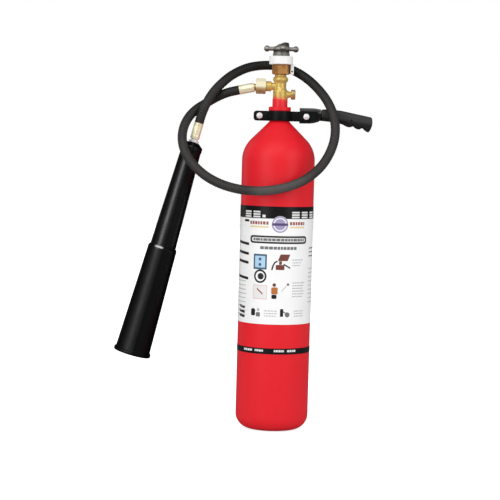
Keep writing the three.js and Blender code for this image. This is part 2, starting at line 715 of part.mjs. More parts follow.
// Half of the strap clamp as seen from above, for the half on the +Y side; side is 1 or -1.
function strapHalf(side) {
  const outerR = STRAP_RING_R + STRAP_THICKNESS;
  const outline = new THREE.Shape();
  const angleAt = (y, radius) => Math.asin(y / radius);
  const start = angleAt(RIGHT_HALF_GAP, STRAP_RING_R);
  const end = Math.PI - angleAt(LEFT_HALF_GAP, STRAP_RING_R);
  outline.moveTo(STRAP_X[1], RIGHT_HALF_GAP);
  outline.absarc(0, 0, STRAP_RING_R, start, end, false);
  outline.lineTo(STRAP_X[0], LEFT_HALF_GAP);
  outline.lineTo(STRAP_X[0], LEFT_HALF_GAP + STRAP_THICKNESS);
  const outerEnd = angleAt(LEFT_HALF_GAP + STRAP_THICKNESS, outerR);
  const outerStart = angleAt(RIGHT_HALF_GAP + STRAP_THICKNESS, outerR);
  outline.absarc(0, 0, outerR, Math.PI - outerEnd, outerStart, true);
  outline.lineTo(STRAP_X[1], RIGHT_HALF_GAP + STRAP_THICKNESS);
  outline.closePath();
  const geometry = new THREE.ExtrudeGeometry(outline, {
    depth: STRAP_Z[1] - STRAP_Z[0],
    bevelEnabled: false,
    curveSegments: 12,
  });
  geometry.translate(0, 0, STRAP_Z[0]);
  if (side < 0) {
    geometry.rotateX(Math.PI);
    geometry.translate(0, 0, STRAP_Z[0] + STRAP_Z[1]);
  }
  let half = solid(geometry);
  for (const x of [LEFT_BOLT_X, RIGHT_BOLT_X]) {
    half = half.subtract(alongMinusY(rod(BOLT_R + GAP, -20, 20, THIN_SIDES), [x, 0, STRAP_MID_Z]));
  }
  return half;
}

// A bolt through the clamp at x, whose ears' outside faces are at y = -ear and y = ear.
function clampBolt(x, ear) {
  const reach = ear + 9;
  const bolt = hexagon(BOLT_FLATS, ear + GAP, ear + GAP + BOLT_HEAD)
    .add(rod(BOLT_R, -reach, ear + 1, THIN_SIDES));
  return alongMinusY(bolt, [x, 0, STRAP_MID_Z]);
}

function clampNut(x, ear) {
  const top = -ear - 2 * GAP - WASHER_THICKNESS;
  const nut = hexagon(BOLT_FLATS, top - NUT_THICKNESS, top)
    .subtract(rod(BOLT_R + GAP, top - NUT_THICKNESS - 1, top + 1, THIN_SIDES));
  return alongMinusY(nut, [x, 0, STRAP_MID_Z]);
}

function clampWasher(x, ear) {
  const top = -ear - GAP;
  const washer = sleeve(BOLT_R + GAP, WASHER_R, top - WASHER_THICKNESS, top);
  return alongMinusY(washer, [x, 0, STRAP_MID_Z]);
}

// The forged handle frame: an I-shaped end between the strap's ears, and a tang inside the grip.
function handleFrame() {
  const [x0, x1] = FRAME_X;
  const [z0, z1] = FRAME_Z;
  const depth = FRAME_DEPTH / 2;
  const [slope, drop] = FRAME_SLOPE;
  const web = block([x0, x1 - 2], [-FRAME_WEB / 2, FRAME_WEB / 2], [z0 + 1, z1 - FLANGE + 0.2]);
  const nose = new THREE.Shape();
  nose.moveTo(x0, z0);
  nose.lineTo(x0 + 26, z0 + 0.6);
  nose.lineTo(x1 - 6, z0 + 4);
  nose.lineTo(x1, z0 + 10);
  nose.lineTo(x1, z1 - drop);
  nose.lineTo(x1 - slope, z1);
  nose.lineTo(x0, z1);
  nose.lineTo(x0, z1 - FLANGE);
  nose.lineTo(x1 - slope, z1 - FLANGE);
  nose.lineTo(x1 - FLANGE, z1 - FLANGE - drop);
  nose.lineTo(x1 - FLANGE, z0 + 11);
  nose.lineTo(x1 - 7, z0 + 4 + FLANGE);
  nose.lineTo(x0 + 26, z0 + 0.6 + FLANGE);
  nose.lineTo(x0, z0 + FLANGE);
  nose.closePath();
  const rim = new THREE.ExtrudeGeometry(nose, { depth: FRAME_DEPTH, bevelEnabled: false });
  rim.rotateX(Math.PI / 2);
  rim.translate(0, depth, 0);
  const hole = alongMinusY(rod(BOLT_R + GAP, -20, 20, THIN_SIDES), [RIGHT_BOLT_X, 0, STRAP_MID_Z]);
  const frame = web.add(solid(rim)).add(tangBar(TANG_FROM_X, 0)).subtract(hole);
  return withPinHoles(frame);
}

// The tang, or with a clearance the slot for it, from fromX to the tang's end.
function tangBar(fromX, clearance) {
  const outline = new THREE.Shape();
  outline.moveTo(fromX, TANG_Z[0] - clearance);
  outline.lineTo(fromX, TANG_Z[1] + clearance);
  outline.lineTo(TANG_END_X + clearance, TANG_END_Z[1] + clearance);
  outline.lineTo(TANG_END_X + clearance, TANG_END_Z[0] - clearance);
  outline.closePath();
  const depth = TANG_THICKNESS + 2 * clearance;
  const geometry = new THREE.ExtrudeGeometry(outline, { depth, bevelEnabled: false });
  geometry.rotateX(Math.PI / 2);
  geometry.translate(0, depth / 2, 0);
  return solid(geometry);
}

// Height of the tang's middle line at x.
function gripPinZ(x) {
  const nearZ = (TANG_Z[0] + TANG_Z[1]) / 2;
  const farZ = (TANG_END_Z[0] + TANG_END_Z[1]) / 2;
  return THREE.MathUtils.lerp(nearZ, farZ, (x - TANG_FROM_X) / (TANG_END_X - TANG_FROM_X));
}

function withPinHoles(shape) {
  let drilled = shape;
  for (const x of GRIP_PINS_X) {
    const hole = rod(GRIP_PIN_R + GAP, -20, 20, THIN_SIDES);
    drilled = drilled.subtract(alongMinusY(hole, [x, 0, gripPinZ(x)]));
  }
  return drilled;
}

// The moulded grip, with three finger ridges under it and a slot for the tang.
function gripOutline() {
  const outline = new THREE.Shape();
  outline.moveTo(80.6, 600);
  outline.lineTo(80.6, 615.4);
  outline.quadraticCurveTo(81, 617.4, 84, 617.3);
  outline.lineTo(109, 616.6);
  outline.quadraticCurveTo(128, 614.4, 147, 610);
  outline.lineTo(175, 604.6);
  outline.quadraticCurveTo(177.4, 604, 177.6, 601);
  outline.lineTo(178, 588);
  outline.quadraticCurveTo(177, 581, 171.5, 576.4);
  outline.quadraticCurveTo(164, 576.6, 159, 583.5);
  outline.quadraticCurveTo(155, 580.6, 150.5, 581);
  outline.quadraticCurveTo(145, 582.4, 141.2, 586.6);
  outline.quadraticCurveTo(137, 584, 132.5, 584.6);
  outline.quadraticCurveTo(126, 586.6, 123, 589);
  outline.lineTo(100, 594);
  outline.lineTo(87, 595);
  outline.quadraticCurveTo(82.5, 596.5, 80.6, 600);
  return outline;
}

function handleGrip() {
  const geometry = new THREE.ExtrudeGeometry(gripOutline(), {
    depth: GRIP_DEPTH,
    bevelEnabled: false,
    curveSegments: 4,
  });
  geometry.rotateX(Math.PI / 2);
  geometry.translate(0, GRIP_DEPTH / 2, 0);
  const slotFrom = TANG_FROM_X - 1;
  return withPinHoles(solid(geometry).subtract(tangBar(slotFrom, 2 * GAP)));
}

function buildHandle() {
  const group = new THREE.Group();
  part(group, "strap_rear", strapHalf(1), blackPaint);
  part(group, "strap_front", strapHalf(-1), blackPaint);
  const fasteners = [
    ["left", LEFT_BOLT_X, LEFT_HALF_GAP + STRAP_THICKNESS],
    ["right", RIGHT_BOLT_X, RIGHT_HALF_GAP + STRAP_THICKNESS],
  ];
  for (const [side, x, ear] of fasteners) {
    part(group, `clamp_bolt_${side}`, clampBolt(x, ear), brightZinc);
    part(group, `clamp_washer_${side}`, clampWasher(x, ear), brightZinc);
    part(group, `clamp_nut_${side}`, clampNut(x, ear), brightZinc);
  }
  part(group, "handle_frame", handleFrame(), blackPaint);
  part(group, "handle_grip", handleGrip(), gripPlastic);
  GRIP_PINS_X.forEach((x, i) => {
    const half = GRIP_DEPTH / 2 - GAP;
    const pin = alongMinusY(rod(GRIP_PIN_R, -half, half, THIN_SIDES), [x, 0, gripPinZ(x)]);
    part(group, `grip_pin_${i + 1}`, pin, blackPaint);
  });
  return group;
}

// ---------------------------------------------------------------- assembly

const extinguisher = new THREE.Group();
extinguisher.add(buildCylinder());
extinguisher.add(buildValve());
extinguisher.add(buildHandwheel());
part(extinguisher, "union_nut", unionNut(), paleGold);
extinguisher.add(buildValveEnd());
part(extinguisher, "hose", hoseTube(), hoseRubber);
extinguisher.add(buildHorn());
extinguisher.add(buildHandle());

export default extinguisher;
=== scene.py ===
"""A carbon dioxide fire extinguisher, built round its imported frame.

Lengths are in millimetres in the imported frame's axes until a mesh is made: +Z up the cylinder, +X
towards the carrying handle, -X towards the valve outlet, -Y towards the label's face. The camera,
the lights and the depth of bumps are in metres, and the scales of noise are per metre.
"""

import math
from collections import Counter

import bmesh
import bpy
import numpy as np
from mathutils import Matrix, Vector


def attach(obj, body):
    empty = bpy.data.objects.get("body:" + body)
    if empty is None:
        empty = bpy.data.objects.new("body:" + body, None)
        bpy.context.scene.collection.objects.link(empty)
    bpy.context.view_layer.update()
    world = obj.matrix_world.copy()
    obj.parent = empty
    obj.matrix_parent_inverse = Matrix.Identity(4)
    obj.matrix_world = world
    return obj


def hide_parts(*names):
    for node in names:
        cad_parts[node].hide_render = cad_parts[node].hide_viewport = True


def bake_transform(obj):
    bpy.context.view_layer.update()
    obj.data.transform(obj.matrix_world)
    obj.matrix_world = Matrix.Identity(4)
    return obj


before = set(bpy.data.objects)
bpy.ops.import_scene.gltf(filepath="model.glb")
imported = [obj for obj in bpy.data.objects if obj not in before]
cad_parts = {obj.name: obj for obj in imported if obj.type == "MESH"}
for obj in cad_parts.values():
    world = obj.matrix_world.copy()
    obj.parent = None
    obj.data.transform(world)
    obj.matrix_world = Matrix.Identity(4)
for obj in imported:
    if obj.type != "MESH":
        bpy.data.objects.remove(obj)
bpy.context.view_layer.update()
scene = bpy.context.scene
scene.view_settings.view_transform = "Standard"

MM = 0.001
TAU = 2 * math.pi
ALONG_X = Matrix.Rotation(math.pi / 2, 4, "Y")
ALONG_MINUS_X = Matrix.Rotation(-math.pi / 2, 4, "Y")
ALONG_MINUS_Y = Matrix.Rotation(math.pi / 2, 4, "X")

# ------------------------------------------------------------------ camera and lights

EYE = Vector((-0.05, -3.05, 0.532))
LENS = 114.0
PITCH = math.radians(-3.535)
ROLL = math.radians(1.52)
WORLD_DIFFUSE = 0.86
WORLD_GLOSSY = 0.09
SOFTBOXES = [  # name, place, height aimed at, size, watts
    ("key", (-1.5, -1.9, 1.15), 0.45, (1.1, 2.0), 15),
    ("fill", (1.7, -1.8, 1.2), 0.45, (1.0, 1.8), 11.5),
    ("top", (-0.35, -1.45, 2.1), 0.5, (1.7, 1.3), 11),
    ("rim", (-1.6, 1.2, 1.0), 0.4, (0.5, 1.6), 2),
]


def add(name, data):
    """Puts a new object into the scene."""
    obj = bpy.data.objects.new(name, data)
    scene.collection.objects.link(obj)
    return obj


def make_camera():
    data = bpy.data.cameras.new("camera")
    data.sensor_width = 36
    data.lens = LENS
    scene.camera = add("camera", data)
    turn = Matrix.Rotation(math.pi / 2 + PITCH, 4, "X") @ Matrix.Rotation(ROLL, 4, "Z")
    scene.camera.matrix_world = Matrix.Translation(EYE) @ turn


def make_lights():
    for name, place, aim, size, watts in SOFTBOXES:
        data = bpy.data.lights.new(name, "AREA")
        data.shape = "RECTANGLE"
        data.size, data.size_y = size
        data.energy = watts
        light = add(name, data)
        light.location = place
        ray = Vector((0, 0, aim)) - light.location
        light.rotation_euler = ray.to_track_quat("-Z", "Y").to_euler()


def make_world():
    """White where it is seen, a little dimmer as light, and dimmer again in reflections."""
    scene.world = bpy.data.worlds.new("studio")
    scene.world.use_nodes = True
    nodes, links = scene.world.node_tree.nodes, scene.world.node_tree.links
    background = nodes["Background"]
    background.inputs["Color"].default_value = (1, 1, 1, 1)
    path = nodes.new("ShaderNodeLightPath")
    glossy = nodes.new("ShaderNodeMix")
    glossy.inputs["A"].default_value = WORLD_DIFFUSE
    glossy.inputs["B"].default_value = WORLD_GLOSSY
    seen = nodes.new("ShaderNodeMix")
    seen.inputs["B"].default_value = 1.0
    links.new(path.outputs["Is Glossy Ray"], glossy.inputs["Factor"])
    links.new(path.outputs["Is Camera Ray"], seen.inputs["Factor"])
    links.new(glossy.outputs["Result"], seen.inputs["A"])
    links.new(seen.outputs["Result"], background.inputs["Strength"])


make_camera()
make_lights()
make_world()

# ------------------------------------------------------------------ materials


class Shader:
    """A node material with short calls for the nodes that every finish here is made of.

    A value may be a number, a colour or another node's output. Names of inputs have _ for a space.
    """

    def __init__(self, name):
        self.material = bpy.data.materials.new(name)
        self.material.use_nodes = True
        self.nodes = self.material.node_tree.nodes
        self.link = self.material.node_tree.links.new
        self.principled = self.nodes["Principled BSDF"]
        self.coords = self.node("TexCoord")

    def feed(self, socket, value):
        if isinstance(value, bpy.types.NodeSocket):
            self.link(value, socket)
        elif socket.type == "RGBA":
            socket.default_value = (*value, 1)
        else:
            socket.default_value = value

    def fill(self, node, values):
        for name, value in values.items():
            self.feed(node.inputs[name.replace("_", " ")], value)
        return node

    def node(self, kind, **values):
        return self.fill(self.nodes.new("ShaderNode" + kind), values)

    def set(self, **values):
        self.fill(self.principled, values)

    def cover(self, mask, color):
        """Lays a colour over the base colour where the mask is 1."""
        base = self.principled.inputs["Base Color"]
        self.link(self.mix(mask, base.links[0].from_socket, color), base)

    def stretched(self, scale, kind="Object"):
        return self.node("Mapping", Vector=self.coords.outputs[kind], Scale=scale).outputs[0]

    def position(self):
        """The point's X, Y and Z in the object's axes, in millimetres."""
        return self.node("SeparateXYZ", Vector=self.stretched((1 / MM,) * 3)).outputs[:]

    def noise(self, scale, detail=3.0, vector=None):
        made = self.node("TexNoise", Scale=scale, Detail=detail, Roughness=0.55,
                         Vector=vector or self.coords.outputs["Object"])
        return made.outputs["Fac"]

    def remap(self, value, low, high, to_low, to_high, smooth=False):
        made = self.node("MapRange", Value=value, From_Min=low, From_Max=high, To_Min=to_low,
                         To_Max=to_high)
        made.interpolation_type = "SMOOTHSTEP" if smooth else "LINEAR"
        return made.outputs["Result"]

    def fade(self, value, low, high, to_low=0, to_high=1):
        return self.remap(value, low, high, to_low, to_high, smooth=True)

    def near(self, value, centre, half, edge):
        """1 within half of the centre, fading to 0 over edge."""
        away = self.math("ABSOLUTE", self.math("SUBTRACT", value, centre), 0)
        return self.fade(away, half, half + edge, 1, 0)

    def math(self, operation, a, b):
        made = self.node("Math")
        made.operation = operation
        for socket, value in zip(made.inputs, (a, b)):
            self.feed(socket, value)
        return made.outputs[0]

    def times(self, a, b):
        return self.math("MULTIPLY", a, b)

    def mix(self, factor, a, b):
        made = self.node("Mix")
        made.data_type = "RGBA"
        for place, value in ((0, factor), (6, a), (7, b)):
            self.feed(made.inputs[place], value)
        return made.outputs[2]

    def bump(self, height, strength, distance=0.0003):
        """Relief, added to the relief that is there already."""
        normal = self.principled.inputs["Normal"]
        made = self.node("Bump", Height=height, Strength=strength, Distance=distance)
        if normal.is_linked:
            self.link(normal.links[0].from_socket, made.inputs["Normal"])
        self.link(made.outputs["Normal"], normal)

    def pointiness(self, low, high):
        return self.fade(self.node("NewGeometry").outputs["Pointiness"], low, high)


WORN_EDGES = (0.53, 0.62)  # pointiness from which wear starts, and where it is full
# pointiness at which painted shade in the hollows starts, and where it is full
SHADED_HOLLOWS = (0.49, 0.42)


def shade(color, factor):
    return tuple(min(1.0, c * factor) for c in color)


def surface(name, color, roughness, metallic=0.0, tint=0.08, tint_scale=45, grain_scale=1200,
            grain=0.06, smudge=0.06, stretch=(1, 1, 1), wear=None, hollow_shade=None, **extra):
    """A finish with varied colour, smudged gloss, fine grain, worn edges and painted shade in
    hollows.
    """
    made = Shader(name)
    vector = made.stretched(stretch)
    cloud = made.noise(tint_scale, 4, vector)
    made.set(Base_Color=made.mix(cloud, shade(color, 1 - tint), shade(color, 1 + tint)))
    if wear:
        made.cover(made.pointiness(*WORN_EDGES), wear)
    # painted shade: darker where the surface is hollow
    if hollow_shade:
        made.cover(made.pointiness(*SHADED_HOLLOWS), hollow_shade)
    gloss = made.noise(tint_scale * 2.3, 5, vector)
    rough = made.remap(gloss, 0.3, 0.7, roughness - smudge, roughness + smudge)
    made.set(Roughness=rough, Metallic=metallic, **extra)
    made.bump(made.noise(grain_scale, 3, vector), grain)
    return made


def finish(*values, **options):
    return surface(*values, **options).material


RED = (0.69, 0.0068, 0.0155)
BRASS = (0.82, 0.585, 0.17)
PALE_GOLD = (0.95, 0.88, 0.62)
WORN_GOLD = (0.95, 0.9, 0.75)
SPRAY_LIMITS = (643.5, 652.5)  # the red paint is full below the first and gone above the second
SPRAY_RAGGED = 22
SPRAY_LEAN = 0.15


def painted_brass():
    """Forged brass whose foot was painted over with the cylinder, with overspray above it."""
    made = surface("valve_brass", BRASS, 0.44, 0.65, tint=0.06, tint_scale=90, grain_scale=1500,
                   smudge=0.05)
    paint = made.node("BsdfPrincipled", Base_Color=RED, Roughness=0.38)
    x, _, z = made.position()
    ragged = made.math("ADD", z, made.times(made.noise(900, 4), SPRAY_RAGGED))
    height = made.math("ADD", ragged, made.times(x, SPRAY_LEAN))
    mix = made.node("MixShader", Fac=made.fade(height, *SPRAY_LIMITS, 1, 0))
    made.link(made.principled.outputs["BSDF"], mix.inputs[1])
    made.link(paint.outputs["BSDF"], mix.inputs[2])
    made.link(mix.outputs[0], made.nodes["Material Output"].inputs["Surface"])
    return made.material


HOSE_SHADED_BACK = (0.005, 0.0046, 0.0044)
HOSE_DARK = (0.012, 0.011, 0.0107)
HOSE_LIGHT = (0.028, 0.0258, 0.0247)
HOSE_THREAD = (0.055, 0.051, 0.048)
HOSE_FRONT_HIGHLIGHT = (0.11, 0.103, 0.097)


def hose_cover():
    """Cloth wrapped rubber with a fine weave: painted shade behind, lit in front, a painted
    highlight low in front.
    """
    made = Shader("hose_cover")
    wave = made.node("TexWave", Vector=made.stretched((260, 260, 1), "UV"), Scale=1.0,
                     Distortion=1.2, Detail=2)
    wave.wave_profile = "SIN"
    wave.bands_direction = "DIAGONAL"
    weave = wave.outputs["Fac"]
    cloud = made.noise(60, 4)
    x, y, _ = made.position()
    lit_mottle = made.mix(cloud, HOSE_DARK, HOSE_LIGHT)
    threads = made.mix(made.times(weave, 0.35), lit_mottle, HOSE_THREAD)
    # painted light: darker behind as if in shade, lighter in front where the light falls
    made.set(Base_Color=made.mix(made.fade(y, 20, -45), HOSE_SHADED_BACK, threads),
             Roughness=made.remap(cloud, 0.3, 0.7, 0.5, 0.62), Specular_IOR_Level=0.5)
    # a painted highlight low on the front of the loop
    made.cover(made.times(made.fade(y, -78, -94, 0, 0.45), made.fade(x, -65, -30)), HOSE_FRONT_HIGHLIGHT)
    made.bump(made.noise(2600, 2), 0.25, 0.0002)
    made.bump(weave, 0.5, 0.0002)
    return made.material


def frame_with_painted_highlight():
    """Black paint with a painted highlight in grey along the handle frame's top flange and upper
    outer corner.
    """
    made = surface("frame_paint", (0.005, 0.0055, 0.006), 0.38, tint=0.25, tint_scale=80,
                   grain_scale=500, Specular_IOR_Level=0.25)
    x, _, z = made.position()
    flange = made.fade(z, 612.2, 614.2)
    corner = made.times(made.fade(x, 71.5, 75.5), made.fade(z, 608, 611))
    # painted highlight on the top flange and the upper outer corner
    made.cover(made.math("MAXIMUM", flange, corner), (0.105, 0.105, 0.107))
    return made.material


def nut_with_painted_shade():
    """Pale plating of the union nut, with painted shade in brown bronze on the nut's underside."""
    made = surface("nut_plated", PALE_GOLD, 0.4, 0.3, tint=0.04, tint_scale=60, grain=0.02,
                   smudge=0.03, wear=WORN_GOLD)
    patchy = made.remap(made.noise(90, 3), 0.2, 0.6, 0.75, 1.0)
    _, _, z = made.position()
    # painted shade: brown bronze on the lower half of the nut
    made.cover(made.times(made.fade(z, 653.5, 659.5, 1, 0), patchy), (0.42, 0.25, 0.095))
    return made.material


def casting_with_painted_shade():
    """Grey casting: paler along its arms and on its skirt, with painted shade beneath the arms and
    on its crown.
    """
    made = surface("cast_metal", (0.15, 0.13, 0.113), 0.46, 0.7, tint=0.16, tint_scale=120,
                   grain_scale=1400, grain=0.14, wear=(0.3, 0.27, 0.24),
                   hollow_shade=(0.035, 0.028, 0.022))
    patchy = made.remap(made.noise(95, 3), 0.3, 0.6, 0.55, 1.0)
    _, _, z = made.position()
    # paler bands on the arms and the skirt; painted shade beneath the arms and on the crown
    arms = made.near(z, 732, 1.6, 2)
    skirt = made.fade(z, 722.2, 724.2, 1, 0)
    crown = made.fade(z, 736.2, 738, 0, 0.7)
    painted_shade = made.math("MAXIMUM", crown, made.near(z, 726.4, 0.8, 1.6))
    for mask, color in ((arms, (0.47, 0.44, 0.41)), (skirt, (0.34, 0.33, 0.295)),
                        (painted_shade, (0.06, 0.048, 0.038))):
        made.cover(made.times(patchy, mask), color)
    return made.material


HORN_TOP = (-153.7, -12, 585.4)
HORN_TILT = math.radians(14.96)
HORN_SHOULDER = 247.9  # where the horn's two halves meet, down the horn from its top
HORN_JOINT_Z = 345.8


def horn_moulding():
    """Black moulding: glossier in the upper half, dark at grazing angles, with a painted glint at
    its joint.
    """
    made = surface("horn_plastic", (0.0024, 0.0024, 0.0028), 0.31, tint=0.3, tint_scale=25,
                   stretch=(3, 3, 1), grain_scale=420, grain=0.07, wear=(0.012, 0.012, 0.013))
    x, _, z = made.position()
    right = made.math("SUBTRACT", x, HORN_TOP[0])
    up = made.math("SUBTRACT", z, HORN_TOP[2])
    cos, sin = math.cos(HORN_TILT), math.sin(HORN_TILT)
    down = made.math("SUBTRACT", made.times(up, -cos), made.times(right, sin))
    across = made.math("SUBTRACT", made.times(right, cos), made.times(up, sin))
    # painted glint on the front of the shoulder where the horn's halves meet
    made.cover(made.times(made.near(down, HORN_SHOULDER, 1.2, 1), made.near(across, -6, 4, 6)),
               (0.5, 0.5, 0.5))
    upper = made.remap(z, HORN_JOINT_Z - 4, HORN_JOINT_Z + 4, 0, 1)
    facing = made.fade(made.node("LayerWeight").outputs["Facing"], 0.14, 0.46, 1.0, 0.02)
    polish = made.times(made.remap(upper, 0, 1, 0.5, 1.0), made.fade(across, -1, 5, 1.0, 0.3))
    smudges = made.remap(made.noise(58, 5), 0.3, 0.7, -0.05, 0.05)
    made.set(Roughness=made.math("ADD", made.remap(upper, 0, 1, 0.42, 0.29), smudges),
             Specular_IOR_Level=made.times(facing, polish))
    return made.material


def moulded_grip():
    """Dark grey moulding, with painted shade along its lower, finger side."""
    made = surface("grip_plastic", (0.034, 0.033, 0.034), 0.45, tint=0.2, tint_scale=60,
                   grain_scale=1500, grain=0.3, wear=(0.075, 0.073, 0.072),
                   Specular_IOR_Level=0.3)
    x, _, z = made.position()
    height = made.math("ADD", z, made.times(x, 0.143))
    # painted shade below the grip's middle line, on the finger side
    made.cover(made.fade(height, 619.5, 612), (0.01, 0.0097, 0.0098))
    return made.material


red_paint = finish("red_enamel", RED, 0.42, tint=0.03, tint_scale=14, grain_scale=260,
                   grain=0.05, smudge=0.05, Specular_IOR_Level=0.28)
brass_forged = painted_brass()
hose_rubber = hose_cover()
brass_turned = finish("brass_turned", (0.86, 0.6, 0.22), 0.3, 0.85, stretch=(1, 1, 6),
                      grain=0.05, wear=(0.95, 0.8, 0.5))
nut_bronze = finish("nut_bronze", (0.56, 0.24, 0.06), 0.4, 0.7, tint=0.14, tint_scale=70,
                    grain=0.05, wear=(0.85, 0.6, 0.3))
pale_gold = finish("pale_gold", PALE_GOLD, 0.38, 0.5, tint=0.04, tint_scale=60,
                   stretch=(1, 1, 3), grain=0.015, smudge=0.03, wear=WORN_GOLD)
nut_plated = nut_with_painted_shade()
copper = finish("copper", (0.8, 0.42, 0.25), 0.3, 0.9)
zinc = finish("zinc", (0.93, 0.935, 0.94), 0.42, 0.5, tint=0.05)
cast_metal = casting_with_painted_shade()
black_paint = finish("black_paint", (0.0035, 0.0042, 0.0045), 0.42, tint=0.25, tint_scale=80,
                     grain_scale=500, grain=0.08, wear=(0.03, 0.03, 0.032),
                     Specular_IOR_Level=0.2)
frame_paint = frame_with_painted_highlight()
black_film = finish("black_film", (0.007, 0.007, 0.008), 0.35, tint=0.15, grain=0.02,
                    Specular_IOR_Level=0.3)
label_film = finish("label_film", (0.8, 0.805, 0.8), 0.36, tint=0.02, tint_scale=30,
                    grain_scale=700, grain=0.03)
horn_plastic = horn_moulding()
grip_plastic = moulded_grip()
nylon = finish("nylon", (0.75, 0.71, 0.6), 0.45, tint=0.05, grain=0.1)
collar_plastic = finish("collar_plastic", (0.76, 0.76, 0.75), 0.32, tint=0.02, grain=0.04,
                        Subsurface_Weight=0.25, Subsurface_Radius=(0.004, 0.004, 0.004))

INKS = {
    "black": (0.012, 0.012, 0.013), "white": (0.7, 0.7, 0.69), "slate": (0.05, 0.1, 0.16),
    "sky": (0.36, 0.55, 0.74), "grey": (0.14, 0.145, 0.15), "pale": (0.42, 0.43, 0.44),
    "violet": (0.09, 0.06, 0.16), "lilac": (0.32, 0.28, 0.46), "sand": (0.72, 0.56, 0.34),
    "rust": (0.17, 0.04, 0.03), "brick": (0.3, 0.07, 0.05), "rose": (0.7, 0.45, 0.46),
    "amber": (0.45, 0.14, 0.025),
}
ink_names = list(INKS)
inks = [finish("ink_" + name, color, 0.4, tint=0.05, grain=0.02) for name, color in INKS.items()]

# ------------------------------------------------------------------ mesh helpers


def clean(obj, sharp=38):
    """Merges doubled points, points the normals outwards and shades smooth up to sharp degrees."""
    shape = bmesh.new()
    shape.from_mesh(obj.data)
    bmesh.ops.remove_doubles(shape, verts=shape.verts, dist=1e-6)
    bmesh.ops.recalc_face_normals(shape, faces=shape.faces)
    shape.to_mesh(obj.data)
    shape.free()
    obj.data.shade_smooth()
    obj.data.set_sharp_from_angle(angle=math.radians(sharp))


def shaped(name, verts, faces, *materials):
    """A mesh object from points in millimetres."""
    mesh = bpy.data.meshes.new(name)
    mesh.from_pydata(np.array(verts) * MM, [], faces)
    for material in materials:
        mesh.materials.append(material)
    return add(name, mesh)


def build(name, verts, faces, material, sharp=38):
    obj = shaped(name, verts, faces, material)
    clean(obj, sharp)
    return obj


def rounded(points, size=0.5, closed=False, steps=4):
    """The profile with each corner cut back by size, or by its own third value, and rounded."""
    result = []
    last = len(points) - 1
    for i, point in enumerate(points):
        here = Vector(point[:2])
        if not closed and i in (0, last):
            result.append(here)
            continue
        before = Vector(points[i - 1][:2])
        after = Vector(points[(i + 1) % len(points)][:2])
        into, out = here - before, after - here
        own = point[2] if len(point) > 2 else size
        cut = min(own, 0.45 * into.length, 0.45 * out.length)
        if cut < 1e-4 or into.angle(out) < math.radians(6):
            result.append(here)
            continue
        start = here - into.normalized() * cut
        end = here + out.normalized() * cut
        for k in range(steps + 1):
            t = k / steps
            result.append(start * (1 - t) ** 2 + here * 2 * t * (1 - t) + end * t * t)
    return [(p.x, p.y) for p in result]


def lathe(name, profile, material, sides=96, radius=None, sharp=38):
    """A solid turned about Z. The profile runs from axis to axis, or is a closed loop off it."""
    loop = profile[0][0] > 1e-6
    count = len(profile)
    spans = count if loop else count - 1
    verts, faces = [], []
    for i in range(sides):
        a = TAU * i / sides
        for r, z in profile:
            if radius:
                r = radius(r, z, a)
            verts.append((r * math.cos(a), r * math.sin(a), z))
        j = (i + 1) % sides
        for k in range(spans):
            m = (k + 1) % count
            faces.append((i * count + k, j * count + k, j * count + m, i * count + m))
    return build(name, verts, faces, material, sharp)


def turned(name, points, material, sides=96, size=0.5, closed=False, **options):
    """A turned solid with its profile's corners rounded."""
    return lathe(name, rounded(points, size, closed), material, sides, **options)


def rod(name, radius, low, high, material, sides=48):
    return lathe(name, [(0, low), (radius, low), (radius, high), (0, high)], material, sides)


def arc(centre, radius, start, end, steps):
    angles = [start + (end - start) * i / steps for i in range(steps + 1)]
    return [(centre[0] + radius * math.cos(a), centre[1] + radius * math.sin(a)) for a in angles]


def circle(centre, radius, sides):
    return arc(centre, radius, 0, TAU, sides)[:-1]


def extrude(name, outline, low, high, material, sharp=38):
    """A closed prism of an (x, y) outline from z = low to high."""
    count = len(outline)
    verts = [(x, y, low) for x, y in outline] + [(x, y, high) for x, y in outline]
    faces = [tuple(range(count)), tuple(range(count, 2 * count))]
    faces += [(i, (i + 1) % count, count + (i + 1) % count, count + i) for i in range(count)]
    return build(name, verts, faces, material, sharp)


def corners(x, y):
    """A rectangle's corners between two x and two y values."""
    return [(x[0], y[0]), (x[1], y[0]), (x[1], y[1]), (x[0], y[1])]


def box(name, x, y, z, material):
    return extrude(name, corners(x, y), *z, material)


def bake(obj):
    """Applies the object's modifiers."""
    graph = bpy.context.evaluated_depsgraph_get()
    old = obj.data
    obj.data = bpy.data.meshes.new_from_object(obj.evaluated_get(graph), depsgraph=graph)
    obj.modifiers.clear()
    bpy.data.meshes.remove(old)


def combine(obj, other, operation="DIFFERENCE"):
    """Cuts the other solid out of obj, or joins or intersects them, and uses the other up."""
    modifier = obj.modifiers.new("combine", "BOOLEAN")
    modifier.operation = operation
    modifier.solver = "EXACT"
    modifier.object = other
    bake(obj)
    bpy.data.objects.remove(other)
    clean(obj)


def cast(obj, others, voxel, passes):
    """Fuses overlapping solids with soft inner corners, as in a forging or a casting."""
    material = obj.data.materials[0]
    shape = bmesh.new()
    for each in (obj, *others):
        shape.from_mesh(each.data)
    shape.to_mesh(obj.data)
    shape.free()
    for each in others:
        bpy.data.objects.remove(each)
    fuse = obj.modifiers.new("fuse", "REMESH")
    fuse.mode = "VOXEL"
    fuse.voxel_size = voxel * MM
    soften = obj.modifiers.new("soften", "SMOOTH")
    soften.factor = 0.5
    soften.iterations = passes
    bake(obj)
    obj.data.materials.clear()
    obj.data.materials.append(material)
    obj.data.shade_smooth()


def bevel(obj, width, segments=3):
    modifier = obj.modifiers.new("bevel", "BEVEL")
    modifier.width = width * MM
    modifier.segments = segments
    modifier.limit_method = "ANGLE"
    modifier.angle_limit = math.radians(30)
    bake(obj)
    obj.data.shade_smooth()
    obj.data.set_sharp_from_angle(angle=math.radians(50))
    return obj


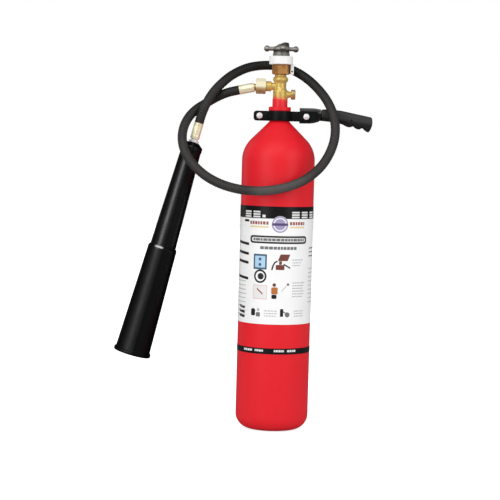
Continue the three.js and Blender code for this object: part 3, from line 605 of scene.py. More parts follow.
def place(obj, at=(0, 0, 0), turn=None):
    """Moves the mesh itself: turned about the origin first, then put at a point."""
    matrix = Matrix.Translation(Vector(at) * MM)
    obj.data.transform(matrix @ turn if turn else matrix)
    return obj


def piece(obj, body, slot, *nodes):
    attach(obj, body)
    if nodes:
        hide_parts(*nodes)


CHAMFER_SLOPE = 0.577  # 30 degrees
END_GAP = 0.01  # how far the chamfering solid stands past a nut's ends


def hex_nut(name, flats, low, high, material, turn=0.0, bore=0.0):
    """A hexagonal nut about Z with turned chamfers, and a corner in the direction of turn."""
    corner = flats / math.sqrt(3)
    outline = arc((0, 0), corner, turn, turn + TAU, 6)[:-1]
    nut = bevel(extrude(name, outline, low, high, material), 0.25, 2)
    cut = corner - flats / 2 + 0.15
    drop = cut * CHAMFER_SLOPE
    wide = corner + 0.3
    profile = [(0, low - END_GAP), (wide - cut, low - END_GAP), (wide, low + drop),
               (wide, high - drop), (wide - cut, high + END_GAP), (0, high + END_GAP)]
    combine(nut, lathe("chamfer", profile, material), "INTERSECT")
    if bore:
        combine(nut, rod("bore", bore, low - 1, high + 1, material))
    return nut


# ------------------------------------------------------------------ hose

HOSE_R = 9
RIDGE = 0.2
RIDGE_PITCH = 5.2
RING_STEP = 1.0
HOSE_SIDES = 32
END_LAP = 1.5  # how far the hose runs into each ferrule
HOSE_ROUTE = [
    (-80.2, 0, 650.1), (-96.5, 1, 646.3), (-112.3, 4.6, 640.5), (-128, 6.8, 632.3),
    (-143.6, 4.6, 622.6), (-159.7, -1.5, 611.4), (-172.5, -10.5, 597.4), (-181, -22.5, 580.4),
    (-184.3, -36, 560.7), (-181.3, -48.5, 540), (-171.7, -58, 519.3), (-155.5, -66.5, 500.2),
    (-133.3, -74, 483.2), (-105.5, -80, 470.2), (-73, -84, 462.2), (-40, -86, 460),
    (-6.5, -86, 463.2), (25.8, -83, 472), (55.7, -76, 487.2), (79.8, -66, 509),
    (96, -54.5, 535), (104.4, -43.5, 561.5), (105.4, -34, 587), (100, -24.5, 611.6),
    (89.2, -13, 634.2), (73.6, 0.5, 654.8), (53.4, 14.5, 674.1), (30.2, 27, 689),
    (5, 35, 697.7), (-20, 38, 701), (-43, 36, 699.5), (-62, 30.5, 695.3),
    (-80, 21.5, 687.3), (-97.5, 10.5, 676), (-113.3, -1, 661.5), (-126.8, -10, 645.8),
    (-137.2, -15, 629.3), (-144.8, -16, 613), (-150, -13.9, 599), (-153.3, -12, 586.9),
]
SEAM_POINT = 29  # the route's point behind the valve where the two lengths meet


def through(points, steps=24):
    """A centripetal Catmull-Rom curve through the points, as closely spaced points."""
    p = np.array(points, float)
    p = np.vstack([2 * p[0] - p[1], p, 2 * p[-1] - p[-2]])
    gap = np.sqrt(np.linalg.norm(np.diff(p, axis=0), axis=1))
    t = np.linspace(0, 1, steps, endpoint=False)[:, None]
    curve = []
    for i in range(1, len(p) - 2):
        a, b, c = gap[i - 1], gap[i], gap[i + 1]
        leave = (p[i] - p[i - 1]) / a - (p[i + 1] - p[i - 1]) / (a + b) + (p[i + 1] - p[i]) / b
        arrive = (p[i + 1] - p[i]) / b - (p[i + 2] - p[i]) / (b + c) + (p[i + 2] - p[i + 1]) / c
        leave, arrive = leave * b, arrive * b
        rise = p[i + 1] - p[i]
        curve.append(p[i] + t * leave + t**2 * (3 * rise - 2 * leave - arrive)
                     + t**3 * (leave + arrive - 2 * rise))
    return np.vstack([*curve, p[-2]])


def stations(curve, spacing):
    """Evenly spaced points on the curve, the distance to each, and two normals at each."""
    run = np.concatenate([[0], np.cumsum(np.linalg.norm(np.diff(curve, axis=0), axis=1))])
    along = np.linspace(0, run[-1], round(run[-1] / spacing) + 1)
    points = np.stack([np.interp(along, run, curve[:, k]) for k in range(3)], 1)
    tangents = np.gradient(points, axis=0)
    tangents /= np.linalg.norm(tangents, axis=1)[:, None]
    side = Vector((0, 1, 0))
    sides, ups = [], []
    for tangent in tangents:
        forward = Vector(tangent)
        side = (side - forward * side.dot(forward)).normalized()
        sides.append(side)
        ups.append(forward.cross(side))
    return points, along, np.array(sides), np.array(ups)


def skin(rings, sides):
    """The faces of a closed tube whose points run ring by ring."""
    faces = []
    for i in range(0, (rings - 1) * sides, sides):
        for j in range(sides):
            k = (j + 1) % sides
            faces.append((i + j, i + sides + j, i + sides + k, i + k))
    last = (rings - 1) * sides
    return [*faces, tuple(range(sides)), tuple(range(last, last + sides))]


def tube(name, points, along, sides, ups):
    """A closed hose along the stations, with a shallow wrapped ridge round it."""
    angles = np.linspace(0, TAU, HOSE_SIDES, endpoint=False)
    phase = TAU * along[:, None] / RIDGE_PITCH + angles[None, :]
    radius = HOSE_R - RIDGE + RIDGE * np.cos(phase)
    ring = (np.cos(angles)[None, :, None] * sides[:, None, :]
            + np.sin(angles)[None, :, None] * ups[:, None, :])
    verts = (points[:, None, :] + radius[:, :, None] * ring).reshape(-1, 3)
    uvs = []
    around = TAU * HOSE_R / HOSE_SIDES
    for i in range(len(points) - 1):
        for j in range(HOSE_SIDES):
            uvs += corners((along[i], along[i + 1]), (j * around, (j + 1) * around))
    uvs += [(0, 0)] * (2 * HOSE_SIDES)
    obj = shaped(name, verts, skin(len(points), HOSE_SIDES), hose_rubber)
    layer = obj.data.uv_layers.new(name="UVMap")
    layer.data.foreach_set("uv", (np.array(uvs) * MM).ravel())
    clean(obj)
    return obj


def beyond(end, inner):
    """The point that carries a curve on past its end, into the ferrule."""
    return end + (end - inner) / np.linalg.norm(end - inner) * END_LAP


def make_hose():
    curve = through(HOSE_ROUTE)
    first, last = beyond(curve[0], curve[1]), beyond(curve[-1], curve[-2])
    facts = stations(np.vstack([first, curve, last]), RING_STEP)
    points = facts[0]
    seam = int(np.argmin(np.linalg.norm(points - np.array(HOSE_ROUTE[SEAM_POINT]), axis=1)))
    run = slice(0, seam + 1)
    end = slice(seam, None)
    hose_run = tube("hose_run", *(fact[run] for fact in facts))
    hose_end = tube("hose_end", *(fact[end] for fact in facts))
    piece(hose_run, "root", "hose_rubber", "hose")
    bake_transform(hose_end)
    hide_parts("hose")
    return (hose_run, points[run] * MM), (hose_end, points[end] * MM)


(hose_run, run_path), (hose_end, end_path) = make_hose()

# ------------------------------------------------------------------ cylinder, label and neck ring

FOOT_R = 28  # the rounding between the flat foot and the wall
SHOULDER_R = 58
WALL = 5
NECK_R, NECK_TOP = 17, 616
CONE_TOP_R = 19  # where the cone, which rises inwards at 45 degrees, would end at neck_z


def make_cylinder():
    quarter = math.pi / 2
    shoulder = (12, 517)
    outside = [(0, 0), *arc((42, FOOT_R), FOOT_R, -quarter, 0, 20),
               *arc(shoulder, SHOULDER_R, 0, quarter / 2, 24)]
    neck_z = sum(outside[-1]) - CONE_TOP_R
    outside += rounded([outside[-1], (20.5, neck_z - 1.5), (NECK_R, neck_z + 4),
                        (NECK_R, NECK_TOP)], 6, steps=8)[1:]
    inside = [(13.1, NECK_TOP), (13.1, neck_z - 4),
              *arc(shoulder, SHOULDER_R - WALL, quarter / 2, 0, 12),
              *arc((42, 31), FOOT_R - WALL, 0, -quarter, 10), (0, 8)]
    shell = lathe("cylinder_body", outside + inside, red_paint, 160, sharp=50)
    piece(shell, "root", "red_paint", "cylinder_shell")


LABEL_Z = (207.7, 431)
BAND_Z = (151, 162)
BLACK_FROM = 408
LABEL_R = (70.04, 70.4)


def sleeve(name, z, material, cuts=()):
    """A film round the wall, with rings of points at the cuts."""
    (low, high), (inner, outer) = z, LABEL_R
    profile = [(inner, low), (outer, low), *((outer, cut) for cut in cuts), (outer, high),
               (inner, high)]
    return lathe(name, profile, material, 160, sharp=30)


def make_label():
    film = sleeve("label_film_sheet", LABEL_Z, label_film, [BLACK_FROM])
    film.data.materials.append(black_film)
    for face in film.data.polygons:
        if face.center.z > BLACK_FROM * MM and face.area > 1e-8:
            face.material_index = 1
    piece(film, "root", "label", "label_sleeve")
    piece(sleeve("lower_band_sheet", BAND_Z, black_film), "root", "black_band", "lower_label_band")


class Print:
    """Ink shapes on the cylinder: each is laid out flat and wrapped round as a thin closed film.

    Shapes are placed by azimuth in degrees from the label's middle, towards +X, and by height.
    A shape in a higher layer stands out further, over the shapes below it.
    """

    COLUMN = 1.6
    FILM = 0.03
    SUNK = 0.02

    def __init__(self):
        self.flat = bmesh.new()
        self.layer = self.flat.faces.layers.int.new("layer")

    @staticmethod
    def along(*azimuths):
        return [math.radians(azimuth) * LABEL_R[1] for azimuth in azimuths]

    def face(self, points, ink, layer=1):
        made = self.flat.faces.new([self.flat.verts.new((x, y, 0)) for x, y in points])
        made.material_index = ink_names.index(ink)
        made[self.layer] = layer

    def block(self, azimuths, heights, ink, layer=1, lean=0.0, corner=0.6):
        """A block with rounded corners; lean moves its top edge sideways, in millimetres."""
        outline = corners(self.along(*azimuths), heights)
        outline[2:] = [(x + lean, y) for x, y in outline[2:]]
        self.face(rounded(outline, corner, closed=True, steps=3), ink, layer)

    def dash(self, azimuths, height, drop, thick, ink, layer=1):
        """A stroke whose right-hand end lies lower by drop."""
        x0, x1 = self.along(*azimuths)
        half = thick / 2
        outline = [(x0, height - half), (x1, height - drop - half), (x1, height - drop + half),
                   (x0, height + half)]
        self.face(rounded(outline, half * 0.8, closed=True), ink, layer)

    def stroke(self, points, thick, ink):
        """A bent stroke of even thickness through points given as azimuth and height."""
        line = [Vector((*self.along(azimuth), height)) for azimuth, height in points]
        left, right = [], []
        for i, point in enumerate(line):
            way = line[min(i + 1, len(line) - 1)] - line[max(i - 1, 0)]
            across = Vector((-way.y, way.x)).normalized() * thick / 2
            left.append(point + across)
            right.append(point - across)
        self.face(right + left[::-1], ink)

    def disc(self, azimuth, height, radius, ink, layer=1, count=28):
        self.face(circle((*self.along(azimuth), height), radius, count), ink, layer)

    def ring(self, azimuth, height, outer, inner, ink, layer=1, count=40):
        outside, inside = (circle((*self.along(azimuth), height), radius, count)
                           for radius in (outer, inner))
        for i in range(-count, 0):
            self.face([outside[i], outside[i + 1], inside[i + 1], inside[i]], ink, layer)

    def line(self, azimuths, heights, ink, seed, layer=1, words=(2.0, 6.0), space=1.1):
        """A row of blocks of mixed width, where a line of print would stand."""
        random = np.random.RandomState(seed)
        x, end = self.along(*azimuths)
        while x < end - 1:
            width = min(random.uniform(*words), end - x)
            self.face(corners((x, x + width), heights), ink, layer)
            x += width + space

    def wrap(self, name):
        """Cuts the shapes into columns, rolls them round the cylinder and closes them as films."""
        flat = self.flat
        bmesh.ops.remove_doubles(flat, verts=flat.verts, dist=1e-5)
        lefts = [v.co.x for v in flat.verts]
        first, last = min(lefts) / self.COLUMN, max(lefts) / self.COLUMN
        for i in range(math.ceil(first), math.floor(last) + 1):
            geometry = [*flat.verts, *flat.edges, *flat.faces]
            bmesh.ops.bisect_plane(flat, geom=geometry, plane_co=(i * self.COLUMN, 0, 0),
                                   plane_no=(1, 0, 0), dist=1e-5)
        flat.verts.index_update()
        flat.verts.ensure_lookup_table()
        groups = {}
        for face in flat.faces:
            loop = [v.index for v in face.verts]
            groups.setdefault((face[self.layer], face.material_index), []).append(loop)
        verts, faces, materials = [], [], []
        for (layer, ink), loops in sorted(groups.items()):
            top = {}
            for i in sorted({i for loop in loops for i in loop}):
                top[i] = len(verts)
                x, z, _ = flat.verts[i].co
                for radius in (LABEL_R[1] + self.FILM * layer, LABEL_R[1] - self.SUNK):
                    turn = x / LABEL_R[1]
                    verts.append((radius * math.sin(turn), -radius * math.cos(turn), z))
            edges = [edge for loop in loops for edge in zip(loop, loop[1:] + loop[:1])]
            uses = Counter(frozenset(edge) for edge in edges)
            made = [[top[i] for i in loop] for loop in loops]
            made += [[top[i] + 1 for i in reversed(loop)] for loop in loops]
            made += [[top[a] + 1, top[b] + 1, top[b], top[a]] for a, b in edges
                     if uses[frozenset((a, b))] == 1]
            faces += made
            materials += [ink] * len(made)
        obj = shaped(name, verts, faces, *inks)
        obj.data.polygons.foreach_set("material_index", materials)
        obj.data.shade_flat()
        flat.free()
        piece(obj, "root", "label")


def print_label():
    page = Print()
    # marks on the black band at the top: stacked bars
    for azimuths in ((-58, -44), (-40, -27), (23, 37), (41, 55), (61, 75)):
        for height in (409.6, 414.2, 418.8):
            page.block(azimuths, (height, height + 3), "white", corner=1.2)
    page.block((-23.5, -18.5), (410, 415), "white", corner=1)
    # round emblem
    page.disc(4.5, 397.3, 16, "white")
    page.ring(4.5, 397.3, 15.6, 13, "lilac", 2)
    page.disc(4.5, 397.3, 10.4, "lilac", 2)
    page.block((-8, 17), (394.9, 399.7), "violet", 3, corner=2.2)
    # coloured heading with its underline
    for start, end in ((-46, -13), (20, 47)):
        page.line((start, end), (396.4, 402.4), "brick", 60 + start, words=(3.4, 5.2), space=1.5)
        page.block((start, end), (390.4, 393.8), "sand", corner=1)
    # long pill with light blocks inside
    page.block((-45, 53), (360.8, 375.6), "black", corner=7)
    page.block((-41.6, 49.6), (364.2, 372.2), "white", 2, corner=3.9)
    page.line((-38.5, 47), (365.8, 370.6), "grey", 5, layer=3, words=(3.5, 9), space=1.2)
    page.line((-26, 33), (349.8, 355.4), "grey", 8, words=(4, 8), space=1.2)
    # square mark
    page.block((-37, -14.5), (311.5, 340.5), "slate", corner=1.5)
    page.block((-34.4, -17.1), (315, 337), "sky", 2, corner=1.5)
    for height in (320.6, 331):
        page.disc(-25.7, height, 3, "slate", 3, 20)
    # round mark
    page.ring(-25, 298.5, 13, 9.4, "black")
    page.disc(-24, 298.5, 6.2, "black")
    # small framed mark
    page.block((-37, -13), (255, 282), "rose", corner=1)
    page.block((-36, -14), (256.3, 280.7), "white", 2, corner=1)
    page.dash((-30, -20), 275, 10, 3.4, "brick", 3)
    # pictogram of strokes
    page.block((2.5, 18), (328.5, 341), "rust", lean=5, corner=1.2)
    page.block((-0.5, 13), (311.5, 321), "rust", corner=1.2)
    page.block((4.5, 9), (321.4, 328.1), "rust", corner=0.6)
    page.dash((11.5, 22.5), 322.5, 7.5, 3, "black")
    page.stroke([(-6.5, 311), (-4.6, 319.5), (-2, 325.5), (2, 328)], 2.8, "black")
    # second pictogram
    page.block((-6, 2), (256.5, 264.5), "black", corner=2.6)
    page.block((-6.5, 3.5), (265.2, 278.4), "amber", corner=2.4)
    page.disc(-2, 282.8, 3.4, "rust", 1, 18)
    page.dash((9, 17), 270.5, -11, 2.2, "pale")
    page.disc(19.5, 284, 2.6, "grey", 1, 18)
    # lines of small print
    for row, height in enumerate((329.5, 324.2, 318.9)):
        page.line((26, 46 - 3 * row), (height, height + 2), "pale", 20 + row)
    for row, height in enumerate((286, 280.8, 275.6, 270.4, 265.2, 260)):
        page.line((27, 51 - 2 * (row % 3)), (height, height + 2), "pale", 30 + row)
    for row, height in enumerate((351, 343.5, 336)):
        page.line((62, 88), (height, height + 2.6), "grey", 40 + row, words=(3, 8))
    for row in range(9):
        height = 312 - 8 * row
        page.line((62, 90), (height, height + 2), "pale", 50 + row)
        page.line((-88, -52), (height - 26, height - 24), "pale", 60 + row)
    # two dark clusters near the bottom, with small print between them
    page.block((-39.5, -32), (223, 236.5), "black", corner=3)
    page.block((-30.5, -23.5), (221.6, 230), "grey", corner=2)
    page.block((-29, -24.5), (232, 237.4), "pale", corner=1.5)
    page.block((8, 13), (222.8, 237.6), "black", corner=1.2)
    page.disc(19.5, 226.6, 4.8, "grey")
    page.dash((12.6, 18), 232.6, 4, 2.6, "grey")
    for row, height in enumerate((232.4, 227.6, 222.8)):
        page.line((-17, 3), (height, height + 1.8), "pale", 70 + row)
        page.line((31, 50), (height, height + 1.8), "pale", 80 + row)
    # dark strokes down the left-hand side
    for height in (361.5, 343, 326, 296):
        page.dash((-80, -47.5), height, 3.4, 5.2, "black")
    page.block((-60, -48.5), (400.4, 405), "black", corner=2)
    for height in (239, 230, 221.5):
        page.dash((-71, -54), height, 2.2, 5, "black")
    # the side away from the two headings carries only rows of small print
    for row in range(20):
        height = 388 - 7.6 * row
        page.line((112, 168), (height, height + 2.2), "pale", 100 + row)
        page.line((-166, -112), (height, height + 2.2), "pale", 130 + row)
    page.block((112, 168), (394, 399), "grey", corner=1)
    page.block((-166, -112), (394, 399), "grey", corner=1)
    page.wrap("label_print")

    band = Print()
    for azimuths in ((-53, -35), (-31, -16), (0, 16), (21, 37)):
        band.line(azimuths, (155.4, 159.4), "white", 200 + azimuths[1], words=(2.6, 5), space=0.9)
    band.wrap("band_print")


def make_neck_ring():
    profile = [(17.1, 594.2), (20.4, 594.2), (20.4, 611.6), (21.3, 612.6), (21.3, 620),
               (14.7, 620), (14.7, 616.3), (17.1, 616.3)]
    ring = turned("neck_ring_collar", profile, red_paint, 96, 0.7, closed=True)
    piece(ring, "root", "red_paint", "neck_ring")


# ------------------------------------------------------------------ valve

OUTLET_Z = 659
SAFETY_Z = 644


def flat_washer(name, radii, heights, size):
    return turned(name, corners(radii, heights), zinc, 48, size, closed=True)


def knurled(r, z, a):
    return r - 0.09 * (1 + math.cos(32 * a)) if r > 9 and 22 < z < 27.6 else r


def ribbed(r, z, a):
    return r - 0.22 * max(0.0, math.cos(24 * a)) if r > 22 and 703 < z < 713.5 else r


def make_valve():
    body = turned("valve_forging", [
        (0, 588), (12.8, 588), (12.8, 616.3, 0.1), (14.5, 616.3), (14.5, 635.2), (13.9, 636.4),
        (13.9, 650.2, 2.5), (11.2, 656.2, 2), (11, 666.2, 2), (14.5, 670.2, 1.4),
        (14.5, 674.8, 1.2), (10.9, 678.4, 1), (10.6, 681.7, 0.3), (0, 681.7),
    ], brass_forged, size=0.6)
    outlet = turned("outlet", [(0, -8.8), (7, -8.8), (7, -17.2, 2), (9.7, -17.6), (9.7, -27.4),
                               (9, -27.8), (9, -33.8), (0, -33.8)], brass_forged, 64)
    place(outlet, (0, 0, OUTLET_Z), ALONG_X)
    safety = turned("safety", [(0, 5), (7.6, 10), (7, 15.4), (5.7, 17.4), (5.7, 22.3), (0, 22.3)],
                    brass_forged, 48, 0.8)
    place(safety, (0, 0, SAFETY_Z), ALONG_X)
    cast(body, (outlet, safety), 0.5, 7)
    combine(body, turned("core", [(0, 580), (3.5, 580), (3.5, 653.2), (8, 653.2), (8, 690),
                                  (0, 690)], brass_forged, 48, 0.2))
    bore = rod("bore", 4.5, 0, 40, brass_forged, 32)
    combine(body, place(bore, (0, 0, OUTLET_Z), ALONG_MINUS_X))
    piece(body, "root", "brass", "valve_body")

    nut = hex_nut("gland_hex_nut", 30, 682, 700.6, nut_bronze, math.radians(12), 4.3)
    combine(nut, rod("pocket", 7, 693, 702, nut_bronze))
    piece(nut, "root", "copper_alloy", "gland_nut")

    cap = turned("safety_vent_cap", [
        (1.6, 24.4), (6, 24.4), (6, 20.5), (8.2, 20.5), (9.5, 21.9), (9.5, 27.7), (8.2, 29),
        (3, 29), (1.6, 28),
    ], brass_turned, 192, closed=True, radius=knurled)
    piece(place(cap, (0, 0, SAFETY_Z), ALONG_X), "root", "brass", "safety_cap")


def make_tamper_collar():
    collar = turned("tamper_cap", [
        (12, 700.9), (21.7, 700.9), (22.7, 701.9), (22.7, 715.2), (21.2, 716.7), (9, 716.7),
        (9, 714.2), (12, 714.2),
    ], collar_plastic, 192, 0.6, closed=True, radius=ribbed)
    lug = bevel(box("lug", (18.4, 24.8), (-1.5, 1.5), (682, 702.5), collar_plastic), 0.6)
    combine(collar, lug, "UNION")
    hole = rod("hole", 1.6, -4, 4, collar_plastic, 24)
    combine(collar, place(hole, (21.6, 0, 688), ALONG_MINUS_Y))
    piece(collar, "root", "white_plastic", "tamper_collar")


WHEEL_TOP = 743
ARMS_Z = 730.7
ARMS_TURN = math.radians(5)
ARM_WIDENING = 1.15
KNOB_R, KNOB_AT = 6, 27.6


def make_handwheel():
    hub = turned("wheel_casting", [
        (0, 717), (15.5, 717), (16.5, 718.2), (15.2, 725, 1), (14.8, 728, 2),
        (14.8, WHEEL_TOP, 3.4), (0, WHEEL_TOP),
    ], cast_metal, 72, 0.8)
    slope = box("slope", (-60, 0), (-30, 30), (0, 20), cast_metal)
    combine(hub, place(slope, (5.5, 0, WHEEL_TOP), Matrix.Rotation(math.radians(-24), 4, "Y")))
    fused = [lathe("girdle", circle((13.6, ARMS_Z), 3.7, 24), cast_metal, 72)]
    for i in range(4):
        turn = Matrix.Rotation(ARMS_TURN + i * TAU / 4, 4, "Z")
        profile = rounded([(0, 8), (5.4, 8), (3.9, 17), (4, 25), (5.2, 27), (0, 27)], 2.4, steps=6)
        arm = place(lathe("arm", profile, cast_metal, 32),
                    turn=ALONG_X @ Matrix.Scale(ARM_WIDENING, 4, (0, 1, 0)))
        knob = lathe("knob", arc((0, 0), KNOB_R, -math.pi / 2, math.pi / 2, 16), cast_metal, 32)
        place(knob, (KNOB_AT, 0, 0))
        fused += [place(each, (0, 0, ARMS_Z), turn) for each in (arm, knob)]
    cast(hub, fused, 0.55, 8)
    bore = [(0, 700), (4.3, 700), (4.3, 734.5), (8.6, 734.5), (8.6, 760), (0, 760)]
    combine(hub, lathe("bore", bore, cast_metal, 48))
    piece(hub, "handwheel", "cast_metal", "handwheel")

    spindle = turned("spindle_rod", [
        (0, 671), (6.5, 671), (6.5, 674.2), (4, 674.2), (4, 738.2), (3, 739.4), (0, 739.4),
    ], zinc, 48, 0.3)
    combine(spindle, box("tongue", (-5, 5), (-1.15, 1.15), (664, 671.5), zinc), "UNION")
    piece(spindle, "handwheel", "zinc_steel", "spindle")
    piece(flat_washer("wheel_washer_plate", (4.3, 7.8), (734.8, 735.8), 0.2), "handwheel",
          "zinc_steel", "wheel_washer")
    piece(hex_nut("wheel_hex_nut", 13, 736.1, 740, zinc, 0.3, 4.15), "handwheel", "zinc_steel",
          "wheel_nut")


# ------------------------------------------------------------------ fittings on the hose

FERRULE_LANDS = 8
NIPPLE_TILT = math.radians(12)
BALL_R = 9
BALL_AT = (-38, 0, OUTLET_Z)


def crimped(name, start, end, bore):
    """A ferrule about Z whose middle is crimped into flats between two round ends."""
    first, last = start + 5.5, end - 4.5
    rings = [(bore, start), (HOSE_R - 1, start), (HOSE_R, start + 1)]
    rings += [(HOSE_R, float(z)) for z in np.linspace(first - 1.2, last + 1.2, 40)]
    rings += [(HOSE_R, end - 1), (HOSE_R - 0.6, end), (bore, end)]

    def squeeze(r, z, a):
        if r < HOSE_R - 0.1 or not first < z < last:
            return r
        ease = min(1.0, (z - first) / 1.5, (last - z) / 1.5)
        step = TAU / FERRULE_LANDS
        flat = min(HOSE_R * 0.945 / math.cos(a % step - step / 2), HOSE_R)
        return r + (flat - r - 0.12) * ease

    return lathe(name, rings, pale_gold, 144, squeeze, sharp=30)


def make_valve_end():
    nut = hex_nut("union_hex_nut", 26, 28, 47, nut_plated)
    thread = [(0, 27), (9.4, 27), (9.4, 41), (8.4, 43.5), (8.4, 48), (0, 48)]
    combine(nut, lathe("thread", thread, nut_plated, 64))
    piece(place(nut, (0, 0, OUTLET_Z), ALONG_MINUS_X), "root", "pale_gold", "union_nut")

    tilt = Matrix.Rotation(-math.pi / 2 - NIPPLE_TILT, 4, "Y")
    ball = arc((0, 0), BALL_R, -0.22, math.acos(5.8 / BALL_R), 14)
    profile = [(3, ball[0][1]), *ball, (5.8, 10.4), (7.2, 10.8), (7.2, 12), (5.8, 12.2),
               (5.8, 24), (3, 24)]
    nipple = lathe("hose_nipple_turned", profile, brass_turned, 64)
    piece(place(nipple, BALL_AT, tilt), "root", "brass", "hose_nipple")
    ferrule = crimped("ferrule_valve_crimped", 12.3, 42.1, 6)
    piece(place(ferrule, BALL_AT, tilt), "root", "pale_gold", "ferrule_valve_end")


# ------------------------------------------------------------------ horn

HORN_TURN = Matrix.Rotation(HORN_TILT, 4, "Y")


def horn_part(name, node, slot, profile, material, sides=96):
    """Turned about the horn's axis from (radius, distance down from the ferrule's top) points."""
    made = lathe(name, [(r, -d) for r, d in rounded(profile, 0.5, closed=True)], material, sides)
    piece(place(made, HORN_TOP, HORN_TURN), "horn", slot, node)


def make_horn():
    ferrule = crimped("ferrule_horn_crimped", -32, 0, 5.3)
    piece(place(ferrule, HORN_TOP, HORN_TURN), "horn", "pale_gold", "ferrule_horn_end")
    horn_part("horn_nipple_collar", "horn_nipple", "zinc_steel", [
        (3, 8), (5, 8), (5, 32.4), (7, 32.4), (7, 35.2), (10, 35.2), (10, 38.6), (6.2, 38.6),
        (6.2, 53), (3, 53),
    ], zinc, 64)
    horn_part("horn_upper_moulding", "horn_upper", "horn_plastic", [
        (6.5, 39), (11, 39, 1), (17, 44.3, 2), (20.3, 46.6, 1.6), (20.3, 55.4, 1), (19.5, 57, 1),
        (25, 246, 1), (25, 266), (22.4, 266), (22.4, 246, 1), (16.9, 83, 4), (9, 67, 2), (6.5, 67),
    ], horn_plastic)
    horn_part("horn_lower_moulding", "horn_lower", "horn_plastic", [
        (25.3, 246.4), (25.7, 246.4, 0.2), (28, 249.4, 0.8), (28.1, 254, 1), (33.5, 453.6, 2),
        (36.2, 455.6, 0.8), (36.2, 460.8, 1), (35.2, 462, 0.8), (30.9, 462, 1), (26.6, 268, 1),
        (25.3, 266.5),
    ], horn_plastic)


# ------------------------------------------------------------------ strap clamp and handle

STRAP_Z = (593, 612)
STRAP_MID = sum(STRAP_Z) / 2
STRAP_END_R = 6.5
STRAP_X = (-50, 58)
RING_R = 20.9
STRAP = 3
LEFT_BOLT, RIGHT_BOLT = -38.5, 51.2
LEFT_GAP, RIGHT_GAP = 1.5, 3


def strap_outline():
    """Half of the clamp from above, on the +Y side."""
    outlines = []
    for out in (0, STRAP):
        right, left, radius = RIGHT_GAP + out, LEFT_GAP + out, RING_R + out
        first, last = math.asin(right / radius), math.pi - math.asin(left / radius)
        bend = arc((0, 0), radius, first, last, 40)
        outlines.append([(STRAP_X[1], right), *bend, (STRAP_X[0], left)])
    return outlines[0] + outlines[1][::-1]


def drill(obj, x):
    """Cuts a bolt's hole through the clamp or the handle's frame."""
    hole = rod("hole", 3.3, -40, 40, black_paint, 32)
    combine(obj, place(hole, (x, 0, STRAP_MID), ALONG_MINUS_Y))


def make_strap(side, name, node):
    strap = extrude(name, [(x, side * y) for x, y in strap_outline()], *STRAP_Z, black_paint)
    heights = [z - STRAP_MID for z in STRAP_Z]
    ends = rounded(corners(STRAP_X, heights), STRAP_END_R, closed=True, steps=6)
    trim = extrude("trim", ends, -40, 40, black_paint)
    combine(strap, place(trim, (0, 0, STRAP_MID), ALONG_MINUS_Y), "INTERSECT")
    bevel(strap, 0.7)
    drill(strap, LEFT_BOLT)
    drill(strap, RIGHT_BOLT)
    piece(strap, "root", "black_paint", node)


def make_bolt(side, x, ear):
    """A round-headed bolt in front of the ears, with its washer and nut behind them."""
    seat = ear + 0.1
    dome = [(6 * math.cos(a), seat + 1.2 + 2.9 * math.sin(a))
            for a in np.linspace(0, math.pi / 2, 12)]
    end = -ear - 9
    thread = [point for z in np.arange(7) * 0.8 + end
              for point in ((3, z + 0.9), (2.7, z + 1.3))]
    bolt = lathe("bolt_" + side, [(0, end), (2.4, end), *thread, (3, seat), (6, seat), *dome],
                 zinc, 64)
    back = -ear - 0.1
    washer = flat_washer("washer_" + side, (3.3, 6.4), (back - 1.2, back), 0.3)
    nut = hex_nut("nut_" + side, 11, back - 6.4, back - 1.3, zinc, 0.4, 3.1)
    for obj, node in ((bolt, "clamp_bolt_"), (washer, "clamp_washer_"), (nut, "clamp_nut_")):
        piece(place(obj, (x, 0, STRAP_MID), ALONG_MINUS_Y), "root", "zinc_steel", node + side)


def make_clamp():
    make_strap(1, "strap_rear_plate", "strap_rear")
    make_strap(-1, "strap_front_plate", "strap_front")
    make_bolt("left", LEFT_BOLT, LEFT_GAP + STRAP)
    make_bolt("right", RIGHT_BOLT, RIGHT_GAP + STRAP)


def side_plate(name, outline, half_depth):
    """A prism of an (x, z) outline, reaching half_depth to both sides of Y = 0."""
    made = extrude(name, outline, -half_depth, half_depth, frame_paint)
    return place(made, turn=ALONG_MINUS_Y)


def make_frame():
    web = side_plate("handle_frame_forging", [
        (38.3, 590), (64, 590.6), (74, 594), (79, 600), (79, 615.4), (68, 617.4), (38.3, 617.4),
    ], 2.6)
    outside = rounded([(38, 589.5, 1), (62, 589.9, 6), (75.5, 593.4, 6), (80.2, 600.5, 4),
                       (80.2, 616.8, 2), (67, 619, 4), (38, 619, 1)], 2, closed=True, steps=6)
    inside = rounded([(30, 592.2), (62, 592.6, 6), (74, 595.8, 5), (77.4, 601.6, 4),
                      (77.4, 614.4, 3), (67, 616.2, 4), (30, 616.2)], 2, closed=True, steps=6)
    rim = side_plate("rim", outside, 9)
    combine(rim, side_plate("inner", inside, 20))
    tang = side_plate("tang", [(77, 595.5), (168, 588.5), (168, 600.5), (77, 611.5)], 3)
    cast(web, (rim, tang), 0.55, 7)
    drill(web, RIGHT_BOLT)
    piece(web, "root", "black_paint", "handle_frame")


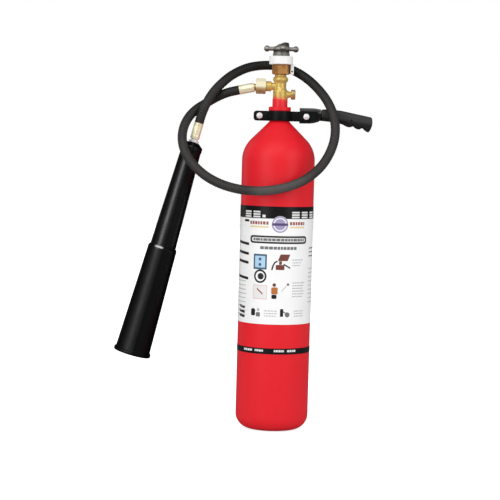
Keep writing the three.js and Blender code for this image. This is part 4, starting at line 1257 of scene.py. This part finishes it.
GRIP_X = (80.6, 178)
GRIP_TOP = [(80.6, 612), (80.8, 615.4), (81.6, 616.9), (84, 617.4), (96, 617), (109, 616.5),
            (119, 615.4), (128, 613.8), (137, 612), (147, 610), (160, 607.6), (172, 605.2),
            (175.6, 604.4), (177.2, 603), (177.8, 600), (178, 596)]
GRIP_LOW = [(80.6, 604), (80.8, 599), (82, 596.8), (86, 595.4), (100, 594), (112, 591.8),
            (121, 589.6), (127, 586.6), (132.5, 584.8), (137, 585), (141.2, 586.6),
            (144.5, 583.8), (150.5, 581.2), (155, 581.6), (159, 583.5), (163, 580),
            (168, 576.8), (170.6, 576), (172.6, 577.2), (175.4, 582), (177.4, 587.4), (178, 592)]
GRIP_DEPTH = 11
GRIP_SQUARENESS = 0.62  # 1 would make the grip's sections round
PIN_REACH = 10.55
PIN_X = (98, 138)
TANG_START, TANG_END = (77, 603.5), (168, 594.5)  # the tang's middle line, which the pins cross


def half_section(points, xs):
    """The height at each x of the smooth curve through (x, z) points."""
    line = through([(x, 0, z) for x, z in points], 12)
    return np.interp(xs, line[:, 0], line[:, 2])


def squared(value):
    return math.copysign(abs(value) ** GRIP_SQUARENESS, value)


def make_grip():
    start, end = GRIP_X
    xs = start + (end - start) * (1 - np.cos(np.linspace(0, math.pi, 130))) / 2
    around = np.linspace(0, TAU, 48, endpoint=False)
    verts = []
    for x, high, low in zip(xs, half_section(GRIP_TOP, xs), half_section(GRIP_LOW, xs)):
        taper = min(1.0, 0.86 + 0.14 * math.sqrt((x - start) / 2),
                    0.75 + 0.25 * math.sqrt((end - x) / 3))
        waist = 1 - 0.06 * math.sin(math.pi * (x - start) / (end - start))
        for a in around:
            cos, sin = math.cos(a), math.sin(a)
            seam = 0.25 if abs(cos) < 0.05 else 0.0
            z = (high + low) / 2 + (high - low) / 2 * squared(sin) + math.copysign(seam, sin)
            verts.append((x, GRIP_DEPTH * taper * waist * squared(cos), z))
    grip = build("handle_grip_moulding", verts, skin(len(xs), len(around)), grip_plastic, 45)
    piece(grip, "root", "grip_plastic", "handle_grip")
    for i, x in enumerate(PIN_X):
        z = np.interp(x, *zip(TANG_START, TANG_END))
        profile = [(0, PIN_REACH + 0.5), (1.6, PIN_REACH + 0.35), (2, PIN_REACH)]
        pin = turned(f"grip_rivet_{i + 1}", [(r, -y) for r, y in profile] + profile[::-1],
                     black_paint, 24, 0.2)
        piece(place(pin, (x, 0, z), ALONG_MINUS_Y), "root", "black_paint", f"grip_pin_{i + 1}")


# ------------------------------------------------------------------ assembly

make_cylinder()
make_label()
print_label()
make_neck_ring()
make_valve()
make_tamper_collar()
make_handwheel()
make_valve_end()
make_horn()
make_clamp()
make_frame()
make_grip()

KEPT_NODES = {
    "gland_packing": nylon,
    "packing_follower": brass_turned,
    "burst_disc": copper,
    "disc_washer": copper,
    "dip_tube": zinc,
    "valve_plug": brass_turned,
    "plug_seal": nylon,
    "horn_jet": brass_turned,
}
for node, material in KEPT_NODES.items():
    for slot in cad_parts[node].material_slots:
        slot.material = material

# ------------------------------------------------------------------ floor

FLOOR_GLOW = 0.72
FLOOR_HALF = 8000
FLOOR_DROP = 0.2
FLOOR_COLOR = (0.8, 0.8, 0.8)
FLOOR_REFLECTED = (0.14, 0.14, 0.14)


def make_floor():
    """A white floor that glows a little, so that only a soft contact shadow shows on it."""
    made = Shader("floor_white")
    path = made.node("LightPath")
    made.set(Base_Color=made.mix(path.outputs["Is Glossy Ray"], FLOOR_COLOR, FLOOR_REFLECTED),
             Roughness=0.9, Specular_IOR_Level=0.0, Emission_Color=(1, 1, 1),
             Emission_Strength=made.times(path.outputs["Is Camera Ray"], FLOOR_GLOW))
    width = (-FLOOR_HALF, FLOOR_HALF)
    verts = [(x, y, -FLOOR_DROP) for x, y in corners(width, width)]
    shaped("floor", verts, [(0, 1, 2, 3)], made.material)


make_floor()
